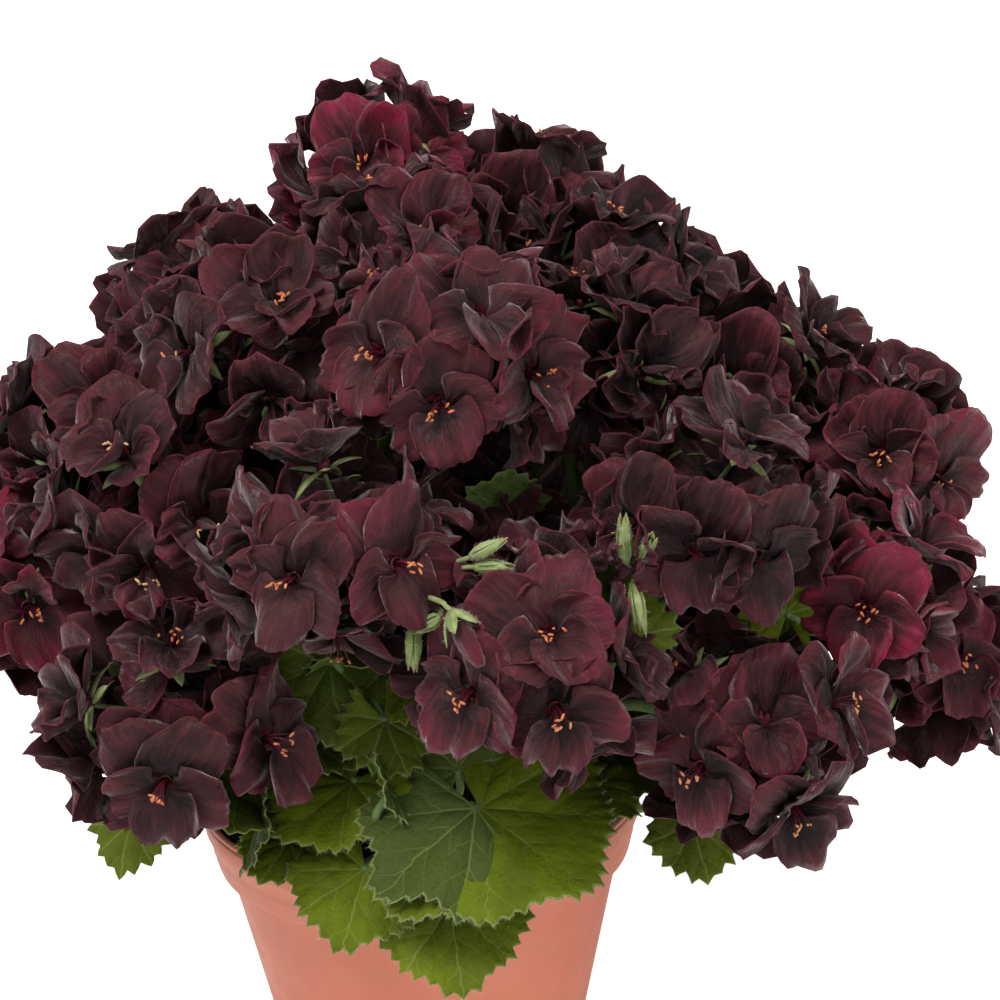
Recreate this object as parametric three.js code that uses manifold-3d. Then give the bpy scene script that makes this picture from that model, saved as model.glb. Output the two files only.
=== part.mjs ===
// A regal pelargonium in its nursery pot: a thermoformed pot, its soil, leafy shoots and rounded heads of
// five-petalled flowers. Millimetres, +Z up, the front of the plant towards -Y. The origin is the centre of
// the pot's foot. Every leafy shoot is one solid and every flower head is one solid.
import * as THREE from "three";
import { mergeVertices } from "three/addons/utils/BufferGeometryUtils.js";
import Module from "manifold-3d";

const wasm = await Module();
wasm.setup();

// Driving dimensions
const POT_HEIGHT = 115;
const POT_RIM_RADIUS = 70.3;
const POT_FOOT_RADIUS = 42;
const POT_NECK_RADIUS = 62.5; // outside, just under the collar
const POT_BAND_RADIUS = 68.6; // outside, at the foot of the plain band under the lip
const POT_WALL = 2;
const POT_FLOOR = 2.6;
const COLLAR_BOTTOM = 94.5;
const BAND_BOTTOM = 106;
const POT_FACETS = 30;
const DRAIN = { count: 4, radius: 5, pitchRadius: 27 };
const GAP = 0.3; // left between pieces that touch on the real plant
const SOIL_TOP = 102;
const STEM_DEPTH = 11; // of each shoot in its hole in the soil
const STEM_RADIUS = 3.6;
const PEDUNCLE_RADIUS = 1.9;
const PETIOLE_RADIUS = 1.4;
const PETAL_LENGTH = 24;
const PETAL_THICKNESS = 1.3;
const LEAF_THICKNESS = 1.4;
const CLAW_DEPTH = 17; // from a flower's face down to its root inside the head's core
const CROWN_CENTRE = new THREE.Vector3(22, 0, 157); // the heads look away from this point

const COLOURS = {
  pot: new THREE.MeshStandardMaterial({ color: 0xc4775a, roughness: 0.45, metalness: 0 }),
  soil: new THREE.MeshStandardMaterial({ color: 0x33261d, roughness: 0.95, metalness: 0 }),
  leaf: new THREE.MeshStandardMaterial({ color: 0x4c7330, roughness: 0.65, metalness: 0 }),
  petal: new THREE.MeshStandardMaterial({ color: 0x421c26, roughness: 0.75, metalness: 0 }),
};

// The heads: where each one's hub is, how far its flowers reach from the hub, how many it holds, and which
// way its flowers that show in front look, as [turn to the right, tilt up] in degrees from the front.
const HEADS = {
  crown_top: { at: [-3, 36, 299], reach: 32, flowers: 5, faces: [[-16, 10]] },
  crown_back: { at: [42, 40, 288], reach: 31, flowers: 4, faces: [] },
  crest_right: { at: [64, 2, 276], reach: 31, flowers: 4, faces: [] },
  crest: { at: [2, -14, 285], reach: 37, flowers: 5, faces: [] },
  brow: { at: [17, -60, 272], reach: 40, flowers: 6, faces: [[-47, 26], [-7, 3], [47, 11]] },
  shoulder_left: { at: [-57, 20, 269], reach: 34, flowers: 5, faces: [] },
  temple_left: { at: [-42, -34, 268], reach: 36, flowers: 5, faces: [[19, 49]] },
  temple_right: { at: [60, -38, 264], reach: 34, flowers: 4, faces: [] },
  shoulder_right: { at: [109, 2, 243], reach: 34, flowers: 4, faces: [] },
  flank_left: { at: [-98, 6, 230], reach: 34, flowers: 4, faces: [] },
  flank_right: { at: [144, -12, 218], reach: 34, flowers: 5, faces: [[-5, 23], [-21, -17], [35, 2]] },
  cheek_left: { at: [-74, -50, 226], reach: 38, flowers: 5, faces: [[-3, -13], [30, 11]] },
  cheek_right: { at: [88, -76, 232], reach: 39, flowers: 5, faces: [[-43, 10], [-8, 3], [29, -5]] },
  middle: { at: [-18, -92, 228], reach: 40, flowers: 5, faces: [[-28, 10], [32, 15]] },
  side_left: { at: [-118, -28, 196], reach: 36, flowers: 4, faces: [[10, 8]] },
  side_right: { at: [136, -50, 194], reach: 33, flowers: 4, faces: [[-2, 16]] },
  skirt_left: { at: [-68, -80, 171], reach: 41, flowers: 6, faces: [[-4, -6], [60, 4]] },
  chin: { at: [37, -106, 198], reach: 40, flowers: 5, faces: [[10, 42], [-38, 10], [10, 3]] },
  skirt_right: { at: [98, -82, 166], reach: 40, flowers: 6, faces: [[-28, 2], [-63, 52]] },
  hem_right: { at: [157, -16, 156], reach: 32, flowers: 4, faces: [[4, 28]] },
  back_top: { at: [15, 86, 262], reach: 38, flowers: 4, faces: [] },
  back_left_high: { at: [-60, 74, 230], reach: 38, flowers: 4, faces: [] },
  back_right_high: { at: [86, 60, 236], reach: 36, flowers: 4, faces: [] },
  back_left: { at: [-94, 56, 172], reach: 38, flowers: 4, faces: [] },
  back_middle: { at: [14, 112, 202], reach: 39, flowers: 4, faces: [] },
  back_right: { at: [130, 56, 202], reach: 38, flowers: 4, faces: [] },
  back_low_left: { at: [-36, 102, 158], reach: 36, flowers: 4, faces: [] },
  back_low_right: { at: [84, 100, 156], reach: 36, flowers: 4, faces: [] },
};

// The shoots: the azimuth and distance of each one's foot in the soil, and the heads that it carries.
const SHOOTS = {
  shoot_centre: { azimuth: 90, away: 4, heads: ["crown_top", "crown_back", "crest_right", "crest"] },
  shoot_front: { azimuth: 272, away: 34, heads: ["brow", "middle", "chin"] },
  shoot_front_left: { azimuth: 222, away: 36, heads: ["temple_left", "cheek_left", "skirt_left"] },
  shoot_left: { azimuth: 176, away: 36, heads: ["shoulder_left", "flank_left", "side_left"] },
  shoot_front_right: { azimuth: 316, away: 36, heads: ["temple_right", "cheek_right", "skirt_right"] },
  shoot_right: { azimuth: 358, away: 38, heads: ["shoulder_right", "flank_right", "side_right", "hem_right"] },
  shoot_back_left: { azimuth: 134, away: 36, heads: ["back_left_high", "back_left"] },
  shoot_back: { azimuth: 92, away: 36, heads: ["back_top", "back_middle", "back_low_left"] },
  shoot_back_right: { azimuth: 44, away: 36, heads: ["back_right_high", "back_right", "back_low_right"] },
};

// The leaves: where the petiole meets the blade, which way the midrib points (azimuth in plan and pitch),
// how far the blade rolls about its midrib, and the blade's length from the petiole to its tip.
const FRONT_LEAVES = [
  { shoot: "shoot_front", at: [8, -94, 139], azimuth: 268, pitch: -42, roll: 0, length: 22 },
  { shoot: "shoot_front", at: [19, -84, 146], azimuth: 318, pitch: -24, roll: 22, length: 43 },
  { shoot: "shoot_front", at: [-16, -84, 127], azimuth: 250, pitch: -40, roll: -8, length: 25 },
  { shoot: "shoot_front", at: [9, -88, 117], azimuth: 279, pitch: -58, roll: 0, length: 26 },
  { shoot: "shoot_front_left", at: [-19, -66, 148], azimuth: 214, pitch: -26, roll: -14, length: 27 },
  { shoot: "shoot_front_left", at: [-40, -62, 131], azimuth: 236, pitch: -18, roll: -6, length: 18 },
];

const UP = new THREE.Vector3(0, 0, 1);
const GOLDEN_ANGLE = Math.PI * (3 - Math.sqrt(5));
const radians = THREE.MathUtils.degToRad;
const vector = (x, y, z) => new THREE.Vector3(x, y, z);
const vectorOf = (list) => new THREE.Vector3(...list);

// A seeded draw from 0 to 1 that depends only on its three whole numbers.
function chance(a, b, c) {
  const wave = Math.sin(a * 12.9898 + b * 78.233 + c * 37.719) * 43758.5453;
  return wave - Math.floor(wave);
}

// Solids
function solidOf(geometry) {
  const bare = new THREE.BufferGeometry().setAttribute("position", geometry.getAttribute("position"));
  if (geometry.index) bare.setIndex(geometry.index);
  const merged = mergeVertices(bare, 1e-4);
  return new wasm.Manifold(
    new wasm.Mesh({
      numProp: 3,
      vertProperties: merged.attributes.position.array,
      triVerts: new Uint32Array(merged.index.array),
    }),
  );
}

function geometryOf(solid) {
  const { numProp, vertProperties, triVerts } = solid.getMesh();
  const positions = new Float32Array((vertProperties.length / numProp) * 3);
  for (let i = 0; i < positions.length / 3; i++) {
    positions.set(vertProperties.subarray(i * numProp, i * numProp + 3), i * 3);
  }
  return new THREE.BufferGeometry()
    .setAttribute("position", new THREE.BufferAttribute(positions, 3))
    .setIndex(new THREE.BufferAttribute(triVerts, 1));
}

const join = (solids) => solids.reduce((whole, next) => whole.add(next));

// The largest body of a solid, without the slivers and scraps that cuts leave.
const SLIVER = 0.02;

function largestBody(solid) {
  const bodies = solid.simplify(SLIVER).decompose();
  return bodies.reduce((best, body) => (body.volume() > best.volume() ? body : best));
}

function namedMesh(name, solid, material) {
  const geometry = geometryOf(solid);
  geometry.computeVertexNormals();
  const mesh = new THREE.Mesh(geometry, material);
  mesh.name = name;
  return mesh;
}

// A round stalk along a curve.
function stalkSolid(curve, radius, sides, steps) {
  const section = new THREE.Shape();
  for (let i = 0; i < sides; i++) {
    const angle = (2 * Math.PI * i) / sides;
    const place = [radius * Math.cos(angle), radius * Math.sin(angle)];
    if (i) section.lineTo(...place);
    else section.moveTo(...place);
  }
  return solidOf(new THREE.ExtrudeGeometry(section, { extrudePath: curve, steps, bevelEnabled: false }));
}

// Pot: a thin-walled cup with a turned-down collar, a groove under its lip and drain holes round its foot
const POT_SHOULDER = COLLAR_BOTTOM - 2; // inside height where the wall turns out into the collar

function potSolid() {
  const profile = [
    [0, 0],
    [POT_FOOT_RADIUS - 2, 0],
    [POT_FOOT_RADIUS, 2],
    [POT_NECK_RADIUS, COLLAR_BOTTOM - 1],
    [POT_NECK_RADIUS + 3.1, COLLAR_BOTTOM],
    [POT_BAND_RADIUS, BAND_BOTTOM],
    [POT_BAND_RADIUS + 1, BAND_BOTTOM + 1],
    [POT_RIM_RADIUS - 0.5, POT_HEIGHT - 3.5],
    [POT_RIM_RADIUS - 1.3, POT_HEIGHT - 2.2],
    [POT_RIM_RADIUS, POT_HEIGHT - 1],
    [POT_RIM_RADIUS - 0.8, POT_HEIGHT],
    [POT_RIM_RADIUS - POT_WALL, POT_HEIGHT - 0.6],
    [POT_BAND_RADIUS - POT_WALL, BAND_BOTTOM],
    [POT_NECK_RADIUS - POT_WALL, POT_SHOULDER],
    [POT_FOOT_RADIUS - POT_WALL, POT_FLOOR],
    [0, POT_FLOOR],
  ];
  const outline = profile.map(([radius, height]) => new THREE.Vector2(radius, height));
  const cup = new THREE.LatheGeometry(outline, POT_FACETS).rotateX(Math.PI / 2);
  const holes = [];
  for (let i = 0; i < DRAIN.count; i++) {
    const angle = (2 * Math.PI * i) / DRAIN.count;
    const hole = new THREE.CylinderGeometry(DRAIN.radius, DRAIN.radius, 12, 8).rotateX(Math.PI / 2);
    hole.translate(DRAIN.pitchRadius * Math.cos(angle), DRAIN.pitchRadius * Math.sin(angle), 0);
    holes.push(solidOf(hole));
  }
  return solidOf(cup).subtract(join(holes));
}

// Soil: fills the pot to just under the collar, with a crumbly top raised by a formula, and a plain hole
// for each shoot
const SOIL_FACETS = 12;
const SOIL_RINGS = 3;
const SOIL_SPREAD = 2; // how far the top spreads into the collar

function soilHeight(x, y) {
  return SOIL_TOP + 1.1 * Math.sin(x * 0.21 + 1) * Math.cos(y * 0.17) + 0.8 * Math.sin(x * 0.09 - y * 0.13);
}

function soilSolid(stemFeet) {
  const insideRadius = (height) => {
    const share = (height - POT_FLOOR) / (POT_SHOULDER - POT_FLOOR);
    return THREE.MathUtils.lerp(POT_FOOT_RADIUS, POT_NECK_RADIUS, share) - POT_WALL - 3 * GAP;
  };
  const points = [];
  const ring = (radius, heightAt) => {
    for (let i = 0; i < SOIL_FACETS; i++) {
      const angle = (2 * Math.PI * i) / SOIL_FACETS;
      const x = radius * Math.cos(angle);
      const y = radius * Math.sin(angle);
      points.push(vector(x, y, heightAt(x, y)));
    }
  };
  const floor = POT_FLOOR + GAP;
  const shoulderRadius = insideRadius(POT_SHOULDER);
  ring(insideRadius(floor), () => floor);
  ring(shoulderRadius, () => POT_SHOULDER);
  for (let k = SOIL_RINGS; k >= 1; k--) {
    const spread = k === SOIL_RINGS ? SOIL_SPREAD : 0;
    ring((shoulderRadius * k) / SOIL_RINGS + spread, soilHeight);
  }
  const lastRing = SOIL_RINGS + 1;
  points.push(vector(0, 0, soilHeight(0, 0)), vector(0, 0, floor));
  const faces = [];
  for (let k = 0; k < lastRing; k++) {
    for (let i = 0; i < SOIL_FACETS; i++) {
      const a = k * SOIL_FACETS + i;
      const b = k * SOIL_FACETS + ((i + 1) % SOIL_FACETS);
      faces.push(a, b, b + SOIL_FACETS, a, b + SOIL_FACETS, a + SOIL_FACETS);
    }
  }
  for (let i = 0; i < SOIL_FACETS; i++) {
    const next = (i + 1) % SOIL_FACETS;
    const inner = lastRing * SOIL_FACETS;
    faces.push(inner + i, inner + next, points.length - 2, next, i, points.length - 1);
  }
  const body = solidOf(new THREE.BufferGeometry().setFromPoints(points).setIndex(faces));
  const holes = stemFeet.map((foot) => {
    const depth = STEM_DEPTH + GAP;
    const radius = STEM_RADIUS + 3 * GAP;
    const hole = new THREE.CylinderGeometry(radius, radius, 2 * depth, 6).rotateX(Math.PI / 2);
    return solidOf(hole.translate(foot.x, foot.y, SOIL_TOP));
  });
  return largestBody(body.subtract(join(holes)));
}

// Shoots
function headHub(name) {
  return vectorOf(HEADS[name].at);
}

function headAxis(name) {
  return headHub(name).sub(CROWN_CENTRE).normalize();
}

function shootFoot(shoot) {
  const angle = radians(shoot.azimuth);
  return vector(shoot.away * Math.cos(angle), shoot.away * Math.sin(angle), SOIL_TOP - STEM_DEPTH);
}

const FORK_SHARE = 0.5; // of the way from a shoot's foot to the middle of its heads

function shootFork(shoot) {
  const middle = vector(0, 0, 0);
  for (const name of shoot.heads) middle.add(headHub(name));
  middle.divideScalar(shoot.heads.length);
  return shootFoot(shoot).lerp(middle, FORK_SHARE);
}

// A stem leaves its hole upright and then leans out to its fork.
const STEM_UPRIGHT = 18; // length of its straight foot
const STEM_LEAN = 14; // how much higher it still heads upwards

function stemCurve(shoot) {
  const foot = shootFoot(shoot);
  const fork = shootFork(shoot);
  const low = foot.clone().add(vector(0, 0, STEM_UPRIGHT));
  const curve = new THREE.CurvePath();
  curve.add(new THREE.LineCurve3(foot, low));
  const bend = low.clone().add(vector(0, 0, STEM_LEAN));
  curve.add(new THREE.QuadraticBezierCurve3(low, bend, fork));
  return curve;
}

// A point of the stem's straight-sided solid, at a share of its length.
const STEM_SIDES = 5;
const STEM_STEPS = 5;

function stemPoint(shoot, share) {
  const knots = stemCurve(shoot).getSpacedPoints(STEM_STEPS);
  const k = Math.min(Math.floor(share * STEM_STEPS), STEM_STEPS - 1);
  return knots[k].clone().lerp(knots[k + 1], share * STEM_STEPS - k);
}

const PEDUNCLE_SIDES = 3;
const PEDUNCLE_STEPS = 4;
const CORE_SHARE = 0.62; // radius of a head's core, of the head's reach
const CORE_FLAT = 0.7947; // distance of an icosahedron's faces from its centre, of its radius

// A peduncle rises a little over the straight way, and ends square against the flat of its head's core
// that faces the plant.
const NECK_LENGTH = 14;
const KNEE_RISE = 3;

function peduncleRoute(shoot, name) {
  const fork = shootFork(shoot);
  const axis = headAxis(name);
  const seat = HEADS[name].reach * CORE_SHARE * CORE_FLAT + GAP;
  const end = headHub(name).addScaledVector(axis, -seat);
  const neck = headHub(name).addScaledVector(axis, -seat - NECK_LENGTH);
  const knee = fork.clone().lerp(neck, 0.5).add(vector(0, 0, KNEE_RISE));
  return [fork, knee, neck, end];
}

function leafFrame(leaf) {
  const turn = radians(leaf.azimuth);
  const pitch = radians(leaf.pitch);
  const out = vector(Math.cos(turn) * Math.cos(pitch), Math.sin(turn) * Math.cos(pitch), Math.sin(pitch));
  const side = new THREE.Vector3().crossVectors(UP, out).normalize();
  const normal = new THREE.Vector3().crossVectors(out, side).normalize();
  side.applyAxisAngle(out, radians(leaf.roll));
  normal.applyAxisAngle(out, radians(leaf.roll));
  return { at: vectorOf(leaf.at), out, side, normal };
}

// A kidney-shaped blade with seven shallow lobes cut into teeth, slightly cupped. The margin runs from one
// side of the notch at the petiole round to the other.
const LEAF_MARGIN_POINTS = 13;
const LEAF_SPAN = radians(158); // from the midrib to the edge of the notch

const LEAF_NARROWING = 0.34; // how much shorter the blade is beside the notch than at its tip
const LOBE_DEPTH = 0.055;
const TOOTH = { out: 1.03, in: 0.93 };

function leafReach(angle) {
  const across = Math.abs(angle) / LEAF_SPAN;
  const lobes = LOBE_DEPTH * Math.cos(3.85 * Math.PI * (angle / LEAF_SPAN));
  return 1 - LEAF_NARROWING * across ** 1.6 + lobes;
}

function leafMargin(leaf) {
  const { at, out, side, normal } = leafFrame(leaf);
  const margin = [];
  for (let i = 0; i < LEAF_MARGIN_POINTS; i++) {
    const share = (2 * i) / (LEAF_MARGIN_POINTS - 1) - 1;
    const angle = share * LEAF_SPAN;
    const tooth = i % 2 ? TOOTH.in : TOOTH.out;
    const reach = leaf.length * leafReach(angle) * tooth;
    const wave = 0.05 * Math.sin(3 * angle + 6 * chance(leaf.seed, 1, 1));
    const cup = (0.1 * Math.cos(2 * angle) + wave) * leaf.length;
    margin.push(
      at.clone()
        .addScaledVector(out, reach * Math.cos(angle))
        .addScaledVector(side, reach * Math.sin(angle))
        .addScaledVector(normal, cup),
    );
  }
  return margin;
}

// Where along its stem a leaf grows, as a share of the stem's length.
function leafNode(leaf) {
  return THREE.MathUtils.clamp((leaf.at[2] - SOIL_TOP) / 150, 0.25, 0.8);
}

// A petiole comes up to its blade from behind and below.
const PETIOLE_BEND = { back: 7, below: 8 };

function petioleRoute(shoot, leaf) {
  const { at, out, normal } = leafFrame(leaf);
  const start = stemPoint(shoot, leafNode(leaf));
  const under = at.clone()
    .addScaledVector(out, -PETIOLE_BEND.back)
    .addScaledVector(normal, -PETIOLE_BEND.below);
  return [start, under, at.clone().addScaledVector(normal, -LEAF_THICKNESS / 2)];
}

// A leaf is one closed shell: the blade's upper face is a fan from its rib point, and its lower face closes
// on the three-sided petiole.
function leafSolid(shoot, leaf) {
  const { at, side, normal } = leafFrame(leaf);
  const margin = leafMargin(leaf);
  const route = petioleRoute(shoot, leaf);
  const points = [...margin, at.clone().addScaledVector(normal, LEAF_THICKNESS / 2)];
  const upper = margin.length;
  const faces = margin.flatMap((_, i) => [upper, i, (i + 1) % margin.length]);
  const ringStart = points.length;
  route.reverse().forEach((point, k) => {
    const before = route[Math.max(k - 1, 0)];
    const after = route[Math.min(k + 1, route.length - 1)];
    const along = k ? after.clone().sub(before).normalize() : normal.clone().negate();
    const aside = side.clone().addScaledVector(along, -side.dot(along)).normalize();
    const back = new THREE.Vector3().crossVectors(aside, along).negate();
    for (let j = 0; j < 3; j++) {
      const angle = (2 * Math.PI * j) / 3;
      points.push(
        point.clone()
          .addScaledVector(back, PETIOLE_RADIUS * Math.cos(angle))
          .addScaledVector(aside, PETIOLE_RADIUS * Math.sin(angle)),
      );
    }
  });
  const cornerNear = (i) => {
    const angle = ((2 * i) / (margin.length - 1) - 1) * LEAF_SPAN;
    return ringStart + ((Math.round((3 * angle) / (2 * Math.PI)) + 3) % 3);
  };
  margin.forEach((_, i) => {
    const next = (i + 1) % margin.length;
    const here = cornerNear(i);
    const there = cornerNear(next);
    faces.push(here, next, i);
    if (here !== there) faces.push(here, there, next);
  });
  for (let k = 0; k + 1 < route.length; k++) {
    for (let j = 0; j < 3; j++) {
      const a = ringStart + 3 * k + j;
      const b = ringStart + 3 * k + ((j + 1) % 3);
      faces.push(a, a + 3, b, b, a + 3, b + 3);
    }
  }
  const last = points.length - 3;
  faces.push(last, last + 2, last + 1);
  return solidOf(new THREE.BufferGeometry().setFromPoints(points).setIndex(faces));
}

const KNUCKLE_RADIUS = 5; // of the swelling where a shoot's stalks part

function shootSolid(name, leaves) {
  const shoot = SHOOTS[name];
  const fork = shootFork(shoot);
  const knuckle = new THREE.IcosahedronGeometry(KNUCKLE_RADIUS, 0).translate(fork.x, fork.y, fork.z);
  const pieces = [solidOf(knuckle), stalkSolid(stemCurve(shoot), STEM_RADIUS, STEM_SIDES, STEM_STEPS)];
  for (const head of shoot.heads) {
    const curve = new THREE.CatmullRomCurve3(peduncleRoute(shoot, head));
    pieces.push(stalkSolid(curve, PEDUNCLE_RADIUS, PEDUNCLE_SIDES, PEDUNCLE_STEPS));
  }
  for (const leaf of leaves) pieces.push(leafSolid(shoot, leaf));
  return largestBody(join(pieces));
}

// Rings of leaves round the plant: low ones over the pot's rim, and higher ones inside the crown.
const LEAF_RINGS = [
  { count: 9, radius: 76, height: 130, pitch: -34, length: 27, from: -33, to: 230 },
  { count: 8, radius: 61, height: 152, pitch: -14, length: 24, from: -34, to: 238 },
  { count: 7, radius: 52, height: 184, pitch: 12, length: 25, from: 0, to: 360 },
];

const STAGGER = 9; // every second leaf of a ring stands higher

function ringLeaves() {
  const leaves = [];
  LEAF_RINGS.forEach((ring, k) => {
    const whole = ring.to - ring.from === 360;
    for (let i = 0; i < ring.count; i++) {
      const share = (i + (whole ? 0.5 * k : 0)) / (whole ? ring.count : ring.count - 1);
      const azimuth = ring.from + share * (ring.to - ring.from) + 8 * (chance(k, i, 1) - 0.5);
      const radius = ring.radius + 6 * (chance(k, i, 2) - 0.5);
      const turn = radians(azimuth);
      const height = ring.height + STAGGER * (i % 2) + 4 * (chance(k, i, 3) - 0.5);
      leaves.push({
        shoot: nearestShoot(azimuth),
        at: [radius * Math.cos(turn), radius * Math.sin(turn), height],
        azimuth: azimuth + 24 * (chance(k, i, 4) - 0.5),
        pitch: ring.pitch + 12 * (chance(k, i, 5) - 0.5),
        roll: 16 * (chance(k, i, 6) - 0.5),
        length: ring.length * (0.9 + 0.25 * chance(k, i, 7)),
      });
    }
  });
  return leaves;
}

function nearestShoot(azimuth) {
  const apart = ([, shoot]) => Math.abs(((azimuth - shoot.azimuth + 540) % 360) - 180);
  const outer = Object.entries(SHOOTS).filter(([, shoot]) => shoot.away > 10);
  return outer.reduce((best, next) => (apart(next) < apart(best) ? next : best))[0];
}

// Flower heads
// Each head keeps to its own side of a plane between its hub and each neighbour's.
function headWalls(name) {
  const hub = headHub(name);
  const walls = [];
  for (const [other, head] of Object.entries(HEADS)) {
    if (other === name) continue;
    const towards = vectorOf(head.at).sub(hub);
    const apart = towards.length();
    if (apart > 2.4 * HEADS[name].reach + 20) continue;
    const limit = (apart ** 2 + HEADS[name].reach ** 2 - head.reach ** 2) / (2 * apart) - GAP / 2;
    walls.push({ towards: towards.divideScalar(apart), limit });
  }
  return walls;
}

const roomLeft = (walls, offset) =>
  walls.reduce((least, wall) => Math.min(least, wall.limit - offset.dot(wall.towards)), Infinity);

// Directions of a head's flowers: the ones that show first, then the widest gaps on the ball.
const DIRECTION_TRIES = 90;
const FLOWER_DEPTH = 5; // how far inside the head's reach a flower's face lies
const SPREAD_ROOM = 7; // what a flower's centre keeps clear of the wall to a neighbour

function flowerDirections(name) {
  const head = HEADS[name];
  const axis = headAxis(name);
  const walls = headWalls(name);
  const chosen = head.faces.map(([turn, tilt]) => {
    const level = Math.cos(radians(tilt));
    return vector(level * Math.sin(radians(turn)), -level * Math.cos(radians(turn)), Math.sin(radians(tilt)));
  });
  const tries = [];
  for (let i = 0; i < DIRECTION_TRIES; i++) {
    const height = 1 - (2 * i + 1) / DIRECTION_TRIES;
    const round = Math.sqrt(1 - height * height);
    const way = vector(round * Math.cos(i * GOLDEN_ANGLE), round * Math.sin(i * GOLDEN_ANGLE), height);
    const place = way.clone().multiplyScalar(head.reach - FLOWER_DEPTH);
    if (way.dot(axis) > -0.1 && roomLeft(walls, place) > SPREAD_ROOM) tries.push(way);
  }
  if (!chosen.length) {
    chosen.push(tries.reduce((best, way) => (way.dot(axis) > best.dot(axis) ? way : best)));
  }
  while (chosen.length < head.flowers) {
    const nearness = (way) => Math.max(...chosen.map((taken) => taken.dot(way)));
    const next = tries.reduce((best, way) => (nearness(way) < nearness(best) ? way : best));
    if (nearness(next) > Math.cos(radians(36))) break;
    chosen.push(next);
  }
  return chosen;
}

// A flower is one closed shell: five petals round a throat. Each petal stays in its own wedge between the
// notches beside it, so neighbours meet only at the throat.
const PETALS = [
  { turn: 33, length: 1.05, notch: 70 },
  { turn: 106, length: 0.97, notch: 143 },
  { turn: 180, length: 1, notch: 217 },
  { turn: 254, length: 0.97, notch: 290 },
  { turn: 327, length: 1.05, notch: 360 },
];
const THROAT = { radius: 4.5, notchDepth: 6.6, depth: 6.8 };
const PETAL_START = { below: 3, out: 2 }; // from the centre of the flower's face
const PETAL_WAVE = 2.4;
const PETAL_OUTLINE = [
  { forward: 0.5, sideways: 0.44 },
  { forward: 0.92, sideways: 0.42 },
]; // shares of the petal's length, for one side of it
const LIFTS = [10, 22, 34, 46, 58, 68]; // degrees above the face that a crowded petal may stand
const SHRINKS = [1, 0.86, 0.74, 0.62];
const PETAL_ROOM = 0.4; // what a petal's margin keeps clear of its flower's own space

function petalPoints(flower, petal, wedge, lift, scale, seed) {
  const outward = flower.top.clone().applyAxisAngle(flower.facing, radians(petal.turn));
  const across = new THREE.Vector3().crossVectors(flower.facing, outward);
  const rise = radians(lift);
  const along = outward.clone().multiplyScalar(Math.cos(rise)).addScaledVector(flower.facing, Math.sin(rise));
  const normal = new THREE.Vector3().crossVectors(along, across);
  const length = PETAL_LENGTH * petal.length * scale;
  const start = flower.centre.clone()
    .addScaledVector(flower.facing, -PETAL_START.below)
    .addScaledVector(outward, PETAL_START.out);
  const wave = PETAL_WAVE * (chance(seed, 2, 1) - 0.5);
  const place = (forward, sideways, proud) => {
    const reach = PETAL_START.out + forward * length * Math.cos(rise);
    const room = reach * Math.tan(radians(sideways < 0 ? wedge.before : wedge.after)) - GAP;
    const aside = Math.sign(sideways) * Math.min(Math.abs(sideways) * length, room);
    return start.clone()
      .addScaledVector(along, forward * length)
      .addScaledVector(across, aside)
      .addScaledVector(normal, proud);
  };
  const [waist, shoulder] = PETAL_OUTLINE;
  return {
    margin: [
      place(waist.forward, -waist.sideways, 0.8 + wave),
      place(shoulder.forward, -shoulder.sideways, -0.8 - wave),
      place(shoulder.forward, shoulder.sideways, -0.8 + wave),
      place(waist.forward, waist.sideways, 0.8 - wave),
    ],
    rib: place(0.6, 0, -0.4),
    normal,
  };
}

// The petal as flat as its place allows: the more crowded it is, the more it stands up or shrinks.
function fittedPetal(flower, petal, wedge, seed) {
  for (const scale of SHRINKS) {
    for (const lift of LIFTS) {
      const tilted = lift + 8 * (chance(seed, 4, 1) - 0.5);
      const points = petalPoints(flower, petal, wedge, tilted, scale, seed);
      if (points.margin.every((point) => flower.room(point) > PETAL_ROOM)) return points;
    }
  }
  return petalPoints(flower, petal, wedge, LIFTS.at(-1), SHRINKS.at(-1) / 2, seed);
}

function flowerSolid(flower, seed) {
  const { centre, facing, top } = flower;
  const throat = centre.clone().addScaledVector(facing, -THROAT.depth);
  const root = centre.clone().addScaledVector(facing, -CLAW_DEPTH);
  const points = [throat, root];
  for (const petal of PETALS) {
    const outward = top.clone().applyAxisAngle(facing, radians(petal.notch));
    points.push(
      centre.clone().addScaledVector(facing, -THROAT.notchDepth).addScaledVector(outward, THROAT.radius),
    );
  }
  const faces = [];
  PETALS.forEach((petal, k) => {
    const previous = PETALS[(k + PETALS.length - 1) % PETALS.length];
    const before = (petal.turn - previous.notch + 360) % 360;
    const after = petal.notch - petal.turn;
    const { margin, rib, normal } = fittedPetal(flower, petal, { before, after }, seed + k);
    const first = points.length;
    points.push(...margin);
    points.push(rib.clone().addScaledVector(normal, PETAL_THICKNESS / 2));
    points.push(rib.clone().addScaledVector(normal, -PETAL_THICKNESS / 2));
    const upper = first + margin.length;
    const lower = upper + 1;
    const leftNotch = 2 + ((k + PETALS.length - 1) % PETALS.length);
    const rim = [leftNotch, first, first + 1, first + 2, first + 3, 2 + k];
    for (let i = 0; i + 1 < rim.length; i++) {
      faces.push(upper, rim[i], rim[i + 1], lower, rim[i + 1], rim[i]);
    }
    faces.push(upper, 2 + k, 0, upper, 0, leftNotch);
    faces.push(lower, leftNotch, 2 + k, 1, 2 + k, leftNotch);
  });
  return solidOf(new THREE.BufferGeometry().setFromPoints(points).setIndex(faces));
}

function flowerTop(facing, seed) {
  const top = UP.clone().addScaledVector(facing, -UP.dot(facing));
  if (top.length() < 0.2) top.set(0, 1, 0).addScaledVector(facing, -facing.y);
  return top.normalize().applyAxisAngle(facing, radians(40 * (chance(seed, 5, 1) - 0.5)));
}

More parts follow.
